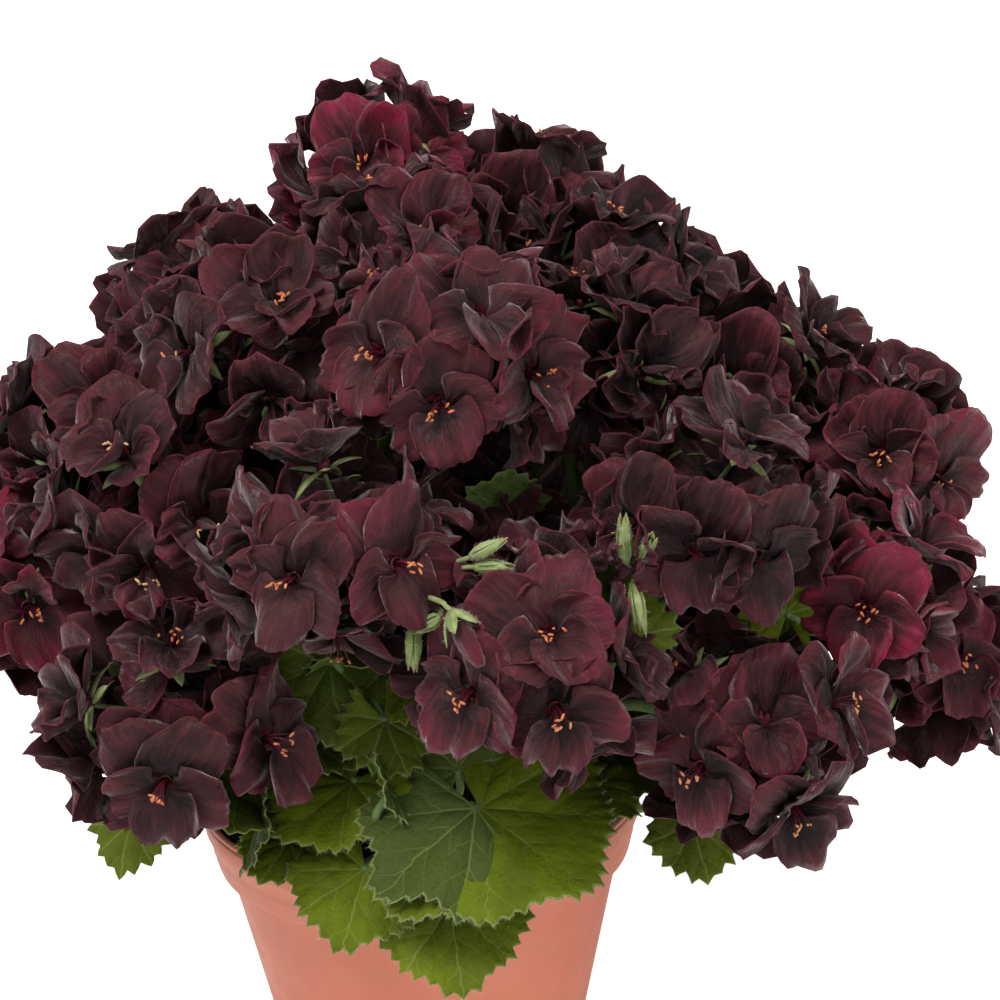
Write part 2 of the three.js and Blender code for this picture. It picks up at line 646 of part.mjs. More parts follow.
// The core: an icosahedron turned so that one of its faces looks back along the head's axis.
function coreSolid(name) {
  const core = new THREE.IcosahedronGeometry(HEADS[name].reach * CORE_SHARE, 0);
  const corner = new THREE.Vector3();
  const flat = new THREE.Vector3();
  for (let i = 0; i < 3; i++) flat.add(corner.fromBufferAttribute(core.getAttribute("position"), i));
  const turn = new THREE.Quaternion().setFromUnitVectors(flat.normalize(), headAxis(name).negate());
  return solidOf(core.applyQuaternion(turn).translate(...headHub(name)));
}

function headSolid(name, index) {
  const head = HEADS[name];
  const hub = headHub(name);
  const walls = headWalls(name);
  const pieces = [coreSolid(name)];
  const directions = flowerDirections(name);
  directions.forEach((facing, k) => {
    const between = directions.filter((other) => other !== facing).map((other) => ({
      towards: other.clone().sub(facing).normalize(),
      limit: 0,
    }));
    const flower = {
      centre: hub.clone().addScaledVector(facing, head.reach - FLOWER_DEPTH),
      facing,
      top: flowerTop(facing, index * 10 + k),
      room: (point) => roomLeft([...walls, ...between], point.clone().sub(hub)),
    };
    pieces.push(flowerSolid(flower, index * 100 + k * 10));
  });
  let whole = join(pieces);
  for (const { towards, limit } of walls) {
    const away = towards.clone().negate();
    whole = whole.trimByPlane(away.toArray(), away.dot(hub) - limit);
  }
  return largestBody(whole);
}

// The plant in its pot
const plant = new THREE.Group();
plant.name = "potted_regal_pelargonium";
plant.add(namedMesh("pot", potSolid(), COLOURS.pot));
plant.add(namedMesh("soil", soilSolid(Object.values(SHOOTS).map(shootFoot)), COLOURS.soil));

const leaves = [...FRONT_LEAVES, ...ringLeaves()].map((leaf, seed) => ({ ...leaf, seed }));
for (const name of Object.keys(SHOOTS)) {
  const own = leaves.filter((leaf) => leaf.shoot === name);
  plant.add(namedMesh(name, shootSolid(name, own), COLOURS.leaf));
}
Object.keys(HEADS).forEach((name, index) => {
  plant.add(namedMesh("head_" + name, headSolid(name, index), COLOURS.petal));
});

export default plant;
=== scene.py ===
# %% [markdown]
# # A regal pelargonium in its nursery pot
# The plant is a dome of almost black, burgundy flowers over toothed green leaves, in a plastic pot the
# colour of terracotta. The solids of the frame already say where every head of flowers, every leafy shoot
# and the pot are. This lesson dresses them: each solid gives way to a finer piece that keeps its place and
# its form. Sizes are in millimetres, as a grower would give them, and become metres when a mesh is made.

# %% Load the frame
import math

import bpy
import numpy as np
from mathutils import Matrix, Vector


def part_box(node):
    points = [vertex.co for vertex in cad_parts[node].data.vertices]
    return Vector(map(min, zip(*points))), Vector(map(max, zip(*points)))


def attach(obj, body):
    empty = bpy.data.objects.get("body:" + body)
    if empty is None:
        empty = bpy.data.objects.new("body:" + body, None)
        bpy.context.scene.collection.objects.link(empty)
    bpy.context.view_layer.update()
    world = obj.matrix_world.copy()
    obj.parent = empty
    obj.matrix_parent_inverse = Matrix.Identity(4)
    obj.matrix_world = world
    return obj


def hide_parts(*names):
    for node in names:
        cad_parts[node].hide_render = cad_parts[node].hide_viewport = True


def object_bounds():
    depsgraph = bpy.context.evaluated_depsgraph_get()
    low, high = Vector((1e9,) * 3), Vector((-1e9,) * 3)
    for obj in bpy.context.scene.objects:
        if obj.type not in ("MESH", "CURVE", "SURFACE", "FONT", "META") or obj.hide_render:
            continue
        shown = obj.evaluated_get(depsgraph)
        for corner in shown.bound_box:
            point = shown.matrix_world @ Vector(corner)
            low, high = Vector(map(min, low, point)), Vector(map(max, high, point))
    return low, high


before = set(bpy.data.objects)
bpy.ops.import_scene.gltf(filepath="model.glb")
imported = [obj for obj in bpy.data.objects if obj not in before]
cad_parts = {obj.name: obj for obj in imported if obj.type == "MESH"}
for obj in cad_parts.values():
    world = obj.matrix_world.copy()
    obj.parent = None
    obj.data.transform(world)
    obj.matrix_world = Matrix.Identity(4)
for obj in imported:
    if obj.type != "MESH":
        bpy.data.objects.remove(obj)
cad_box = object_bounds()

MM = 0.001
print("frame:", len(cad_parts), "nodes")

# %% [markdown]
# ## The viewpoint
# The photograph looks down at the plant from the front, through a long lens. The camera's distance, height,
# pitch and roll were found by fitting the ellipse of the pot's rim and the slope of its sides.

# %% The camera
CAMERA_PLACE = (0.029, -1.1819, 0.6614)
CAMERA_PITCH = math.radians(20.85)
CAMERA_ROLL = math.radians(2.4)
SENSOR_WIDTH = 36
FOCAL_LENGTH = 146.5

forward = Vector((0, math.cos(CAMERA_PITCH), -math.sin(CAMERA_PITCH)))
rise = Vector((0, math.sin(CAMERA_PITCH), math.cos(CAMERA_PITCH)))
right = Vector((1, 0, 0))
camera_x = right * math.cos(CAMERA_ROLL) - rise * math.sin(CAMERA_ROLL)
camera_y = right * math.sin(CAMERA_ROLL) + rise * math.cos(CAMERA_ROLL)

camera = bpy.data.objects.new("camera", bpy.data.cameras.new("camera"))
bpy.context.scene.collection.objects.link(camera)
turn = Matrix((camera_x, camera_y, -forward)).transposed()
camera.matrix_world = Matrix.Translation(CAMERA_PLACE) @ turn.to_4x4()
camera.data.sensor_width = SENSOR_WIDTH
camera.data.lens = FOCAL_LENGTH
bpy.context.scene.camera = camera
print("camera at", tuple(round(value, 3) for value in camera.location))

# %% [markdown]
# ## Writing materials shortly
# A procedural material is a small net of nodes. These helpers let a net be read like a formula: each call
# makes a node, or a short chain of them, and gives back its result, ready to be passed to the next.

# %% Node helpers
def fill(tree, made, inputs):
    """A node with its inputs set to values, or linked where a value is the socket of another node."""
    for key, value in inputs.items():
        if isinstance(value, bpy.types.NodeSocket):
            tree.links.new(value, made.inputs[key])
        else:
            made.inputs[key].default_value = value
    return made


def node(tree, kind, inputs=(), **settings):
    """A new shader node with its settings and inputs."""
    made = tree.nodes.new("ShaderNode" + kind)
    for key, value in settings.items():
        setattr(made, key, value)
    return fill(tree, made, dict(inputs))


def calc(tree, operation, first, *others, clamp=False):
    """A sum over one number, or over several from left to right; a clamp holds the last result."""
    result = first
    for k, other in enumerate(others or (0.0,), 1):
        held = clamp and k >= len(others)
        result = node(tree, "Math", {0: result, 1: other}, operation=operation, use_clamp=held).outputs[0]
    return result


def weighted(tree, *pairs):
    """Several numbers added up, each times its weight."""
    return calc(tree, "ADD", *[calc(tree, "MULTIPLY", number, weight) for number, weight in pairs])


def between(tree, value, low, high, to_low=0.0, to_high=1.0):
    """The value carried smoothly from one range to another."""
    inputs = {"Value": value, "From Min": low, "From Max": high, "To Min": to_low, "To Max": to_high}
    return node(tree, "MapRange", inputs, interpolation_type="SMOOTHSTEP").outputs[0]


def layered(tree, colour, *coats):
    """A colour with others laid over it in turn, each by its own share."""
    for share, coat in coats:
        colour = node(tree, "Mix", {0: share, 6: colour, 7: coat}, data_type="RGBA").outputs[2]
    return colour


def bumped(tree, height, strength, distance):
    """The direction of a surface that a height bends, up to a distance in metres."""
    return node(tree, "Bump", {"Height": height, "Strength": strength, "Distance": distance}).outputs[0]


def noise(tree, where, scale, detail=2.0, roughness=0.5):
    """A soft noise from 0 to 1."""
    inputs = {"Vector": where, "Scale": scale, "Detail": detail, "Roughness": roughness}
    return node(tree, "TexNoise", inputs).outputs["Fac"]


def attribute(tree, name):
    """The three numbers that a shape keeps at each point under one name."""
    vector = node(tree, "Attribute", attribute_name=name).outputs["Vector"]
    return node(tree, "SeparateXYZ", {0: vector}).outputs


def object_place(tree):
    """The place on the object, in metres."""
    return node(tree, "TexCoord").outputs["Object"]


def new_material(name):
    """An empty material: its tree and its shader."""
    material = bpy.data.materials.new(name)
    material.use_nodes = True
    tree = material.node_tree
    return material, tree, tree.nodes["Principled BSDF"]


def new_group(name, inputs, outputs):
    """A shader node group whose sockets are named numbers: its tree, and its ends."""
    tree = bpy.data.node_groups.new(name, "ShaderNodeTree")
    for label, value in inputs.items():
        made = tree.interface.new_socket(name=label, in_out="INPUT", socket_type="NodeSocketFloat")
        made.default_value = value
    for label in outputs:
        tree.interface.new_socket(name=label, in_out="OUTPUT", socket_type="NodeSocketFloat")
    return tree, tree.nodes.new("NodeGroupInput").outputs, tree.nodes.new("NodeGroupOutput").inputs


def use_group(tree, group, **inputs):
    """The outputs of a group that is placed in a tree with its own values."""
    made = tree.nodes.new("ShaderNodeGroup")
    made.node_tree = group
    return fill(tree, made, inputs).outputs


print("node helpers ready")

# %% [markdown]
# ## The studio
# The plant stands in a white light tent: light comes softly from all round, stronger from above and from
# the front left, and the background is pure white. A pale floor, a white world and two very soft suns do the
# same: a sun lights the whole floor alike, so the background stays even. The petals are almost black, so
# the picture is shown without a film curve, which would lift them.

# %% The floor and the lights
FLOOR_HALF = 8.0  # metres
PAPER_WHITE = (0.80, 0.80, 0.80, 1)
LIGHT_WHITE = (1, 1, 1, 1)
FLOOR_GLOW = 0.72  # light through the paper: it is only seen, and doesn't reach the plant
WORLD_STRENGTH = 0.50

corners = [(x * FLOOR_HALF, y * FLOOR_HALF, 0) for x, y in ((-1, -1), (1, -1), (1, 1), (-1, 1))]
floor_mesh = bpy.data.meshes.new("floor")
floor_mesh.from_pydata(corners, [], [(0, 1, 2, 3)])
floor = bpy.data.objects.new("floor", floor_mesh)
bpy.context.scene.collection.objects.link(floor)
paper, tree, shader = new_material("white_paper")
seen = node(tree, "LightPath").outputs["Is Camera Ray"]
fill(tree, shader, {
    "Base Color": PAPER_WHITE,
    "Roughness": 0.9,
    "Emission Color": LIGHT_WHITE,
    "Emission Strength": calc(tree, "MULTIPLY", seen, FLOOR_GLOW),
})
floor_mesh.materials.append(paper)

SUNS = {
    # direction that the light travels in, strength, and how wide the sun is in degrees
    "sun_key": ((0.40, 0.50, -1.0), 2.50, 28),
    "sun_fill": ((-0.75, 0.65, -0.45), 0.70, 40),
}
for sun_name, (travel, strength, width) in SUNS.items():
    sun = bpy.data.objects.new(sun_name, bpy.data.lights.new(sun_name, "SUN"))
    sun.data.energy = strength
    sun.data.angle = math.radians(width)
    sun.rotation_euler = Vector(travel).to_track_quat("-Z", "Y").to_euler()
    bpy.context.scene.collection.objects.link(sun)

world = bpy.data.worlds.new("tent")
world.use_nodes = True
fill(world.node_tree, world.node_tree.nodes["Background"], {"Color": LIGHT_WHITE, "Strength": WORLD_STRENGTH})
bpy.context.scene.world = world
bpy.context.scene.view_settings.view_transform = "Standard"
print("suns:", len(SUNS))

# %% [markdown]
# ## Drawing lots
# A plant never repeats itself, but this script has to give the same plant each time. Every random amount
# comes from one small formula of three whole numbers, so each draw can be named and made again.

# %% A seeded draw
STRIDE_A, STRIDE_B, STRIDE_C = 12.9898, 78.233, 37.719  # uneven, so that no two draws fall together
STRETCH = 43758.5453


def chance(a, b, c):
    """A number from 0 to 1 that depends only on a, b and c."""
    stretched = math.sin(a * STRIDE_A + b * STRIDE_B + c * STRIDE_C) * STRETCH
    return stretched - math.floor(stretched)


def spread(a, b, c, width):
    """A draw round zero, up to half of width either way."""
    return width * (chance(a, b, c) - 0.5)


print("a draw:", round(chance(1, 2, 3), 3))

# %% [markdown]
# ## Building thin things
# Petals, sepals and leaf blades are thin sheets, and stalks are tapering tubes. Both are worked out as
# grids of points with numpy, which is quick enough for two thousand petals. A sheet gets a back as well as
# a front, and a rim between them, so that it encloses a real thickness.

# %% Small vector helpers
UP = np.array([0.0, 0.0, 1.0])
NEARLY_UPRIGHT = 0.9  # the upright part of a unit direction


def unit(vectors):
    """The vectors scaled to length one."""
    vectors = np.asarray(vectors, float)
    return vectors / np.maximum(np.linalg.norm(vectors, axis=-1, keepdims=True), 1e-9)


def turned(vector, axis, angle):
    """A vector turned about a unit axis, by an angle in radians."""
    vector, axis = np.asarray(vector, float), np.asarray(axis, float)
    sideways = np.cross(axis, vector)
    onto_axis = axis * (axis @ vector)
    return vector * math.cos(angle) + sideways * math.sin(angle) + onto_axis * (1 - math.cos(angle))


def aside_of(direction):
    """A unit direction at a right angle to another."""
    return unit(np.cross(direction, UP if abs(direction[2]) < NEARLY_UPRIGHT else [1.0, 0, 0]))


print("vector helpers: unit, turned and aside_of")

# %% A shape that is gathered piece by piece
class Shape:
    """Points, faces and named values per point, gathered before they become one mesh."""

    def __init__(self):
        self.points, self.faces, self.values, self.count = [], [], {}, 0

    def add(self, points, faces, **values):
        """More points, their faces, and under each name three values for each point or for all of them."""
        points = np.asarray(points, float).reshape(-1, 3)
        for face_array in faces:
            self.faces.append(np.asarray(face_array, int) + self.count)
        for label, value in values.items():
            value = np.broadcast_to(np.asarray(value, float), (len(points), 3))
            self.values.setdefault(label, []).append(value)
        self.points.append(points)
        self.count += len(points)

    def mesh(self, name):
        """A smooth mesh in metres, with the values as attributes of its points."""
        mesh = bpy.data.meshes.new(name)
        faces = [tuple(face) for face_array in self.faces for face in face_array.tolist()]
        mesh.from_pydata(np.concatenate(self.points) * MM, [], faces)
        mesh.shade_smooth()
        for label, parts in self.values.items():
            layer = mesh.attributes.new(label, "FLOAT_VECTOR", "POINT")
            layer.data.foreach_set("vector", np.concatenate(parts).astype(np.float32).ravel())
        return mesh


TRIANGLES = {}


def triangles_of(piece):
    """How many triangles a piece's faces come to."""
    return sum(len(polygon.vertices) - 2 for polygon in piece.data.polygons)


def make_piece(name, shape, material, replaces):
    """One finished piece: a mesh with its material, riding on the plant's only body."""
    piece = bpy.data.objects.new(name, shape.mesh(name))
    bpy.context.scene.collection.objects.link(piece)
    piece.data.materials.append(material)
    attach(piece, "root")
    if replaces:
        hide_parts(*replaces)
    TRIANGLES[name] = triangles_of(piece)
    return piece


print("shapes become pieces with make_piece")

# %% Sheets
def sheet(grid, thickness):
    """Points, faces and a mark (0 at the back, 1 in front) of a closed thin sheet over a grid of points."""
    rows, columns = grid.shape[:2]
    behind = unit(np.cross(np.gradient(grid, axis=1), np.gradient(grid, axis=0)))
    back, front = grid + behind * thickness / 2, grid - behind * thickness / 2
    index = np.arange(rows * columns).reshape(rows, columns)
    a, b, c, d = index[:-1, :-1], index[:-1, 1:], index[1:, 1:], index[1:, :-1]
    quads = np.stack([a, b, c, d], axis=-1).reshape(-1, 4)
    total = rows * columns
    edge = np.concatenate([index[0, :], index[1:, -1], index[-1, -2::-1], index[-2:0:-1, 0]])
    after = np.roll(edge, -1)
    rim = np.stack([after, edge, edge + total, after + total], axis=-1)
    points = np.concatenate([back.reshape(-1, 3), front.reshape(-1, 3)])
    mark = np.concatenate([np.zeros(total), np.ones(total)])
    return points, [quads, quads[:, ::-1] + total, rim], mark


def twice(values):
    """Values on a grid, repeated for the back and the front of its sheet."""
    return np.tile(np.ravel(values), 2)


print("helpers: sheet and twice")

# %% Rings, tubes and turned shapes
def ring_angles(sides):
    """Even steps round a ring."""
    return np.linspace(0, 2 * math.pi, sides, endpoint=False)


def ring_quads(count, sides):
    """The quads between rings of points, with each point's number and the number of the one after it."""
    index = np.arange(count * sides).reshape(count, sides)
    after = np.roll(index, -1, axis=1)
    return np.stack([index[:-1], after[:-1], after[1:], index[1:]], axis=-1).reshape(-1, 4), index, after


def closed_rings(rings, start, end):
    """Points and faces of a skin over rings, closed by a fan round its start point and one round its end."""
    count, sides = rings.shape[:2]
    quads, index, after = ring_quads(count, sides)
    fans = np.concatenate([
        np.stack([after[0], index[0], np.full(sides, count * sides)], axis=-1),
        np.stack([index[-1], after[-1], np.full(sides, count * sides + 1)], axis=-1),
    ])
    return np.concatenate([rings.reshape(-1, 3), [start], [end]]), [quads, fans]


def smooth_route(knots, steps):
    """Points along a smooth curve through the knots, with so many steps from each to the next."""
    knots = np.asarray(knots, float)
    padded = np.concatenate([[2 * knots[0] - knots[1]], knots, [2 * knots[-1] - knots[-2]]])
    route = []
    for k in range(len(knots) - 1):
        p0, p1, p2, p3 = padded[k:k + 4]
        for t in np.linspace(0, 1, steps, endpoint=False):
            route.append(0.5 * (2 * p1 + (p2 - p0) * t + (2 * p0 - 5 * p1 + 4 * p2 - p3) * t ** 2
                                + (3 * p1 - p0 - 3 * p2 + p3) * t ** 3))
    return np.array([*route, knots[-1]])


def tube(route, radii, sides):
    """Points and faces of a closed round tube along a route, its radius given at each point or once."""
    route = np.asarray(route, float)
    radii = np.broadcast_to(np.asarray(radii, float), (len(route),))
    along = unit(np.gradient(route, axis=0))
    aside = aside_of(along[0])
    angles = ring_angles(sides)[:, None]
    rings = []
    for point, direction, radius in zip(route, along, radii):
        aside = unit(aside - direction * (aside @ direction))
        other = np.cross(direction, aside)
        rings.append(point + radius * (np.cos(angles) * aside + np.sin(angles) * other))
    return closed_rings(np.array(rings), route[0], route[-1])


def pod(centre, direction, length, radius, sides, rings):
    """A small rounded capsule, such as an anther or a bud."""
    share = np.sin(np.linspace(0.12, 0.88, rings) * math.pi) ** 0.6
    reach = np.linspace(-0.46, 0.46, rings)[:, None] * length
    return tube(centre + reach * unit(direction), radius * share, sides)


def lathe(outline, sides):
    """Points and faces of an outline turned about the upright axis; it starts and ends on the axis."""
    radius, height = np.array(outline, float).T
    angles = ring_angles(sides)
    rings = np.stack([
        radius[1:-1, None] * np.cos(angles), radius[1:-1, None] * np.sin(angles),
        height[1:-1, None] * np.ones(sides),
    ], axis=-1)
    return closed_rings(rings, [0, 0, height[0]], [0, 0, height[-1]])


print("helpers: tube, pod and lathe")

# %% [markdown]
# ## Effects that several surfaces share
# Everything that grew on this plant is slightly uneven in colour, and most of it carries short pale hairs
# or velvet. `mottle` gives soft patches at two scales, and `down` gives the fine grain that hairs and velvet
# cells leave on a surface. Both are node groups, built once and used with each material's own scale.

# %% Mottle and down
MID_GREY = 0.5  # what the noise gives on average

mottle, ends_in, ends_out = new_group("mottle", {"Scale": 60.0, "Contrast": 0.5}, ["Patches", "Specks"])
where = object_place(mottle)
broad = noise(mottle, where, ends_in["Scale"], 3.0, 0.6)
fine = noise(mottle, where, calc(mottle, "MULTIPLY", ends_in["Scale"], 9.0), 2.0)
half_contrast = calc(mottle, "MULTIPLY", ends_in["Contrast"], 0.5)
lowest = calc(mottle, "SUBTRACT", MID_GREY, half_contrast)
highest = calc(mottle, "ADD", MID_GREY, half_contrast)
mottle.links.new(between(mottle, broad, lowest, highest), ends_out["Patches"])
mottle.links.new(between(mottle, fine, lowest, highest), ends_out["Specks"])

down, ends_in, ends_out = new_group("down", {"Scale": 1500.0, "Amount": 0.2}, ["Height", "Tips"])
where = object_place(down)
cells = node(down, "TexVoronoi", {"Vector": where, "Scale": ends_in["Scale"]}).outputs["Distance"]
tips = between(down, cells, 0.0, 0.45, 1.0, 0.0)
down.links.new(calc(down, "MULTIPLY", tips, ends_in["Amount"]), ends_out["Height"])
down.links.new(tips, ends_out["Tips"])
print("groups: mottle, down")

# %% [markdown]
# ## Petals: the finish
# A petal is velvet: nearly black burgundy, with a dull brownish-grey bloom where light grazes it, a deeper
# crimson where the tissue is thin, fine veins that fan out from the throat, and a thin bright rim. Each
# point of a petal knows how far across and along it lies, so veins and rim follow the petal however it
# bends. The throat is crimson. The bloom itself is the shader's sheen, and the pleats that raise it are also
# what bends the light in the bump.

# %% The fan of veins
fan, ends_in, ends_out = new_group(
    "fan_veins", {"Across": 0.0, "Along": 0.0, "Count": 14.0, "Seed": 0.0}, ["Veins", "Pleats"],
)
drift = node(fan, "CombineXYZ", {0: ends_in["Across"], 1: ends_in["Along"], 2: ends_in["Seed"]}).outputs[0]
wander = calc(fan, "MULTIPLY", noise(fan, drift, 3.0, 3.0), 0.22)
column = calc(fan, "MULTIPLY", calc(fan, "ADD", ends_in["Across"], wander), ends_in["Count"])
stretched = calc(fan, "MULTIPLY", ends_in["Along"], 1.6)
stripes = node(fan, "CombineXYZ", {0: column, 1: stretched, 2: ends_in["Seed"]}).outputs[0]
ridge = noise(fan, stripes, 1.3, 4.0, 0.6)
line = calc(fan, "ABSOLUTE", calc(fan, "SUBTRACT", ridge, MID_GREY))
fan.links.new(between(fan, line, 0.0, 0.055, 1.0, 0.0), ends_out["Veins"])
fan.links.new(ridge, ends_out["Pleats"])
print("group: fan_veins")

# %% The petal
PETAL_BLACK = (0.0050, 0.0022, 0.0028, 1)
PETAL_BURGUNDY = (0.062, 0.0135, 0.0170, 1)
PETAL_CRIMSON = (0.215, 0.006, 0.034, 1)
PETAL_BACK = (0.050, 0.015, 0.019, 1)
PETAL_RIM = (0.225, 0.022, 0.052, 1)
PETAL_BLOOM = (0.94, 0.79, 0.79, 1)
THROAT_RED = (0.260, 0.003, 0.032, 1)

petal_finish, tree, shader = new_material("velvet_petal")
across, along, front = attribute(tree, "place")
crimson, bright, hue = attribute(tree, "tint")
patches = use_group(tree, mottle, Scale=62.0, Contrast=0.35)
veins = use_group(tree, fan, Across=across, Along=along, Count=7.0, Seed=hue)
pleats = veins["Pleats"]
# the shade takes a petal from black to burgundy: darker towards the throat, darker in the valleys of the
# pleats as painted shade in the creases, and darker in heads deep in the dome as painted shade
shade = weighted(tree, (pleats, 0.90), (along, 0.42), (bright, 0.34), (patches["Patches"], 0.30))
red_share = calc(
    tree, "MULTIPLY", crimson,
    between(tree, along, 0.45, 1.0, 0.12, 1.30),
    between(tree, patches["Patches"], 0.0, 1.0, 0.45, 1.1),
    between(tree, pleats, 0.35, 0.65, 0.55, 1.0),
    clamp=True,
)
at_rim = between(tree, along, 0.962, 0.992)
at_throat = between(tree, along, 0.06, 0.24, 1.0, 0.0)
colour = layered(
    tree, PETAL_BLACK,
    (between(tree, shade, 0.62, 1.30), PETAL_BURGUNDY),
    (red_share, PETAL_CRIMSON),
    (between(tree, front, 0.0, 1.0, 0.7, 0.0), PETAL_BACK),
    (calc(tree, "MULTIPLY", veins["Veins"], 0.35), PETAL_BLACK),
    (calc(tree, "MULTIPLY", at_rim, between(tree, pleats, 0.38, 0.60, 0.10, 0.46)), PETAL_RIM),
    (calc(tree, "MULTIPLY", at_throat, calc(tree, "ADD", crimson, 0.05, clamp=True)), THROAT_RED),
)
bloom = calc(
    tree, "MULTIPLY",
    between(tree, shade, 0.70, 1.35, 0.02, 0.66),
    between(tree, along, 0.1, 0.5, 0.2, 1.0),
    between(tree, along, 0.95, 0.99, 1.0, 0.4),
)
grain = use_group(tree, down, Scale=2600.0, Amount=0.25)
height = calc(tree, "ADD", calc(tree, "MULTIPLY", pleats, 1.3), grain["Height"])
fill(tree, shader, {
    "Base Color": colour,
    "Roughness": between(tree, patches["Specks"], 0.0, 1.0, 0.44, 0.62),
    "Sheen Weight": bloom,
    "Sheen Roughness": 0.35,
    "Sheen Tint": PETAL_BLOOM,
    "Specular IOR Level": 0.20,
    "Normal": bumped(tree, height, 0.60, 0.0010),
})
print("material:", petal_finish.name)

# %% [markdown]
# ## Where the flower heads are
# A pelargonium carries its flowers in rounded heads at the ends of its shoots. The table gives each head's
# hub, how far its flowers reach from the hub, and which way the flowers look that face us in the
# photograph. The other flowers of a head fill the widest gaps that are left on its ball, one after another,
# as crowded flowers do.

# %% The heads
HEADS = {
    "crown_top": {"at": (-3, 36, 299), "reach": 32, "flowers": 5, "faces": [(-16, 34)]},
    "crown_back": {"at": (42, 40, 288), "reach": 31, "flowers": 4, "faces": []},
    "crest_right": {"at": (64, 2, 276), "reach": 31, "flowers": 4, "faces": []},
    "crest": {"at": (2, -14, 285), "reach": 37, "flowers": 5, "faces": []},
    "brow": {"at": (17, -60, 272), "reach": 40, "flowers": 6, "faces": [(-47, 26), (-7, 3), (47, 11)]},
    "shoulder_left": {"at": (-57, 20, 269), "reach": 34, "flowers": 5, "faces": []},
    "temple_left": {"at": (-42, -34, 268), "reach": 36, "flowers": 5, "faces": [(19, 49)]},
    "temple_right": {"at": (60, -38, 264), "reach": 34, "flowers": 4, "faces": []},
    "shoulder_right": {"at": (109, 2, 243), "reach": 34, "flowers": 4, "faces": []},
    "flank_left": {"at": (-98, 6, 230), "reach": 34, "flowers": 4, "faces": []},
    "flank_right": {
        "at": (144, -12, 218), "reach": 34, "flowers": 5, "faces": [(-5, 23), (-21, -17), (35, 2)],
    },
    "cheek_left": {"at": (-74, -50, 226), "reach": 38, "flowers": 5, "faces": [(-3, -13), (30, 11)]},
    "cheek_right": {"at": (88, -76, 232), "reach": 39, "flowers": 5, "faces": [(-43, 10), (-8, 3), (29, -5)]},
    "middle": {"at": (-18, -92, 228), "reach": 40, "flowers": 5, "faces": [(-28, 10), (32, 15)]},
    "side_left": {"at": (-118, -28, 196), "reach": 36, "flowers": 4, "faces": [(10, 8)]},
    "side_right": {"at": (136, -50, 194), "reach": 33, "flowers": 4, "faces": [(-2, 16)]},
    "skirt_left": {"at": (-68, -80, 171), "reach": 41, "flowers": 6, "faces": [(-4, -6), (60, 4)]},
    "chin": {"at": (37, -106, 198), "reach": 40, "flowers": 5, "faces": [(10, 42), (-38, 10), (10, 3)]},
    "skirt_right": {"at": (98, -82, 166), "reach": 40, "flowers": 6, "faces": [(-28, 2), (-63, 52)]},
    "hem_right": {"at": (157, -16, 156), "reach": 32, "flowers": 4, "faces": [(26, 25)]},
    "back_top": {"at": (15, 86, 262), "reach": 38, "flowers": 4, "faces": []},
    "back_left_high": {"at": (-60, 74, 230), "reach": 38, "flowers": 4, "faces": []},
    "back_right_high": {"at": (86, 60, 236), "reach": 36, "flowers": 4, "faces": []},
    "back_left": {"at": (-94, 56, 172), "reach": 38, "flowers": 4, "faces": []},
    "back_middle": {"at": (14, 112, 202), "reach": 39, "flowers": 4, "faces": []},
    "back_right": {"at": (130, 56, 202), "reach": 38, "flowers": 4, "faces": []},
    "back_low_left": {"at": (-36, 102, 158), "reach": 36, "flowers": 4, "faces": []},
    "back_low_right": {"at": (84, 100, 156), "reach": 36, "flowers": 4, "faces": []},
}
CROWN_CENTRE = np.array([22.0, 0.0, 157.0])  # the heads look away from this point
FLOWER_DEPTH = 5  # mm that a flower's face lies inside its head's reach
NEIGHBOURHOOD = (2.4, 20)  # heads further apart than this many reaches, and mm more, don't press
GAP = 0.3  # mm between the flowers of neighbours
NUDGES = {
    # mm that a finished head is moved from its solid, to its place in the photograph
    "crown_top": (0, 0, 4), "temple_left": (2, 0, 6), "cheek_left": (1, 0, 5), "brow": (0, 0, 2),
    "flank_right": (2, 0, 6), "middle": (2, 0, 2), "skirt_left": (-1, 0, 3), "side_left": (0, 0, 4),
}


def nudge_of(name):
    """How far a head is moved from where its solid stands."""
    return NUDGES.get(name, (0, 0, 0))


def hub_of(name):
    """The middle of a head's ball."""
    return np.array(HEADS[name]["at"], float) + nudge_of(name)


def axis_of(name):
    """The direction in which a head looks out of the crown."""
    return unit(hub_of(name) - CROWN_CENTRE)


def walls_of(name):
    """The planes between a head and its neighbours: unit directions, and distances from its hub."""
    hub, reach = hub_of(name), HEADS[name]["reach"]
    directions, limits = [], []
    for other, head in HEADS.items():
        towards = hub_of(other) - hub
        apart = np.linalg.norm(towards)
        if other == name or apart > NEIGHBOURHOOD[0] * reach + NEIGHBOURHOOD[1]:
            continue
        directions.append(towards / apart)
        limits.append((apart ** 2 + reach ** 2 - head["reach"] ** 2) / (2 * apart) - GAP / 2)
    return np.array(directions), np.array(limits)


def room_left(walls, offsets):
    """How far offsets from the hub stay inside the walls, the least of them for each offset."""
    directions, limits = walls
    return (limits - np.atleast_2d(offsets) @ directions.T).min(axis=1)


def look(right_turn, tilt_up):
    """A direction from degrees to the right of the front and degrees up."""
    level = math.cos(math.radians(tilt_up))
    return np.array([
        level * math.sin(math.radians(right_turn)),
        -level * math.cos(math.radians(right_turn)),
        math.sin(math.radians(tilt_up)),
    ])


print("heads:", len(HEADS), "neighbours of the top one:", len(walls_of("crown_top")[1]))

# %% Which way each flower looks
DIRECTION_TRIES = 90
GOLDEN_ANGLE = math.pi * (3 - math.sqrt(5))
MAIN_BEHIND, MAIN_ROOM = -0.1, 7  # the least cosine to its head's axis, and mm of room, of a main flower
EXTRA_BEHIND, EXTRA_ROOM = -0.45, 1  # the same of an extra one
LOWEST_LOOK = -0.35  # the upright part of an extra flower's direction
EXTRA_FLOWERS = 4  # a head's smaller flowers, set deeper between the others
FLOWERS_APART = math.cos(math.radians(36))
EXTRAS_APART = math.cos(math.radians(27))


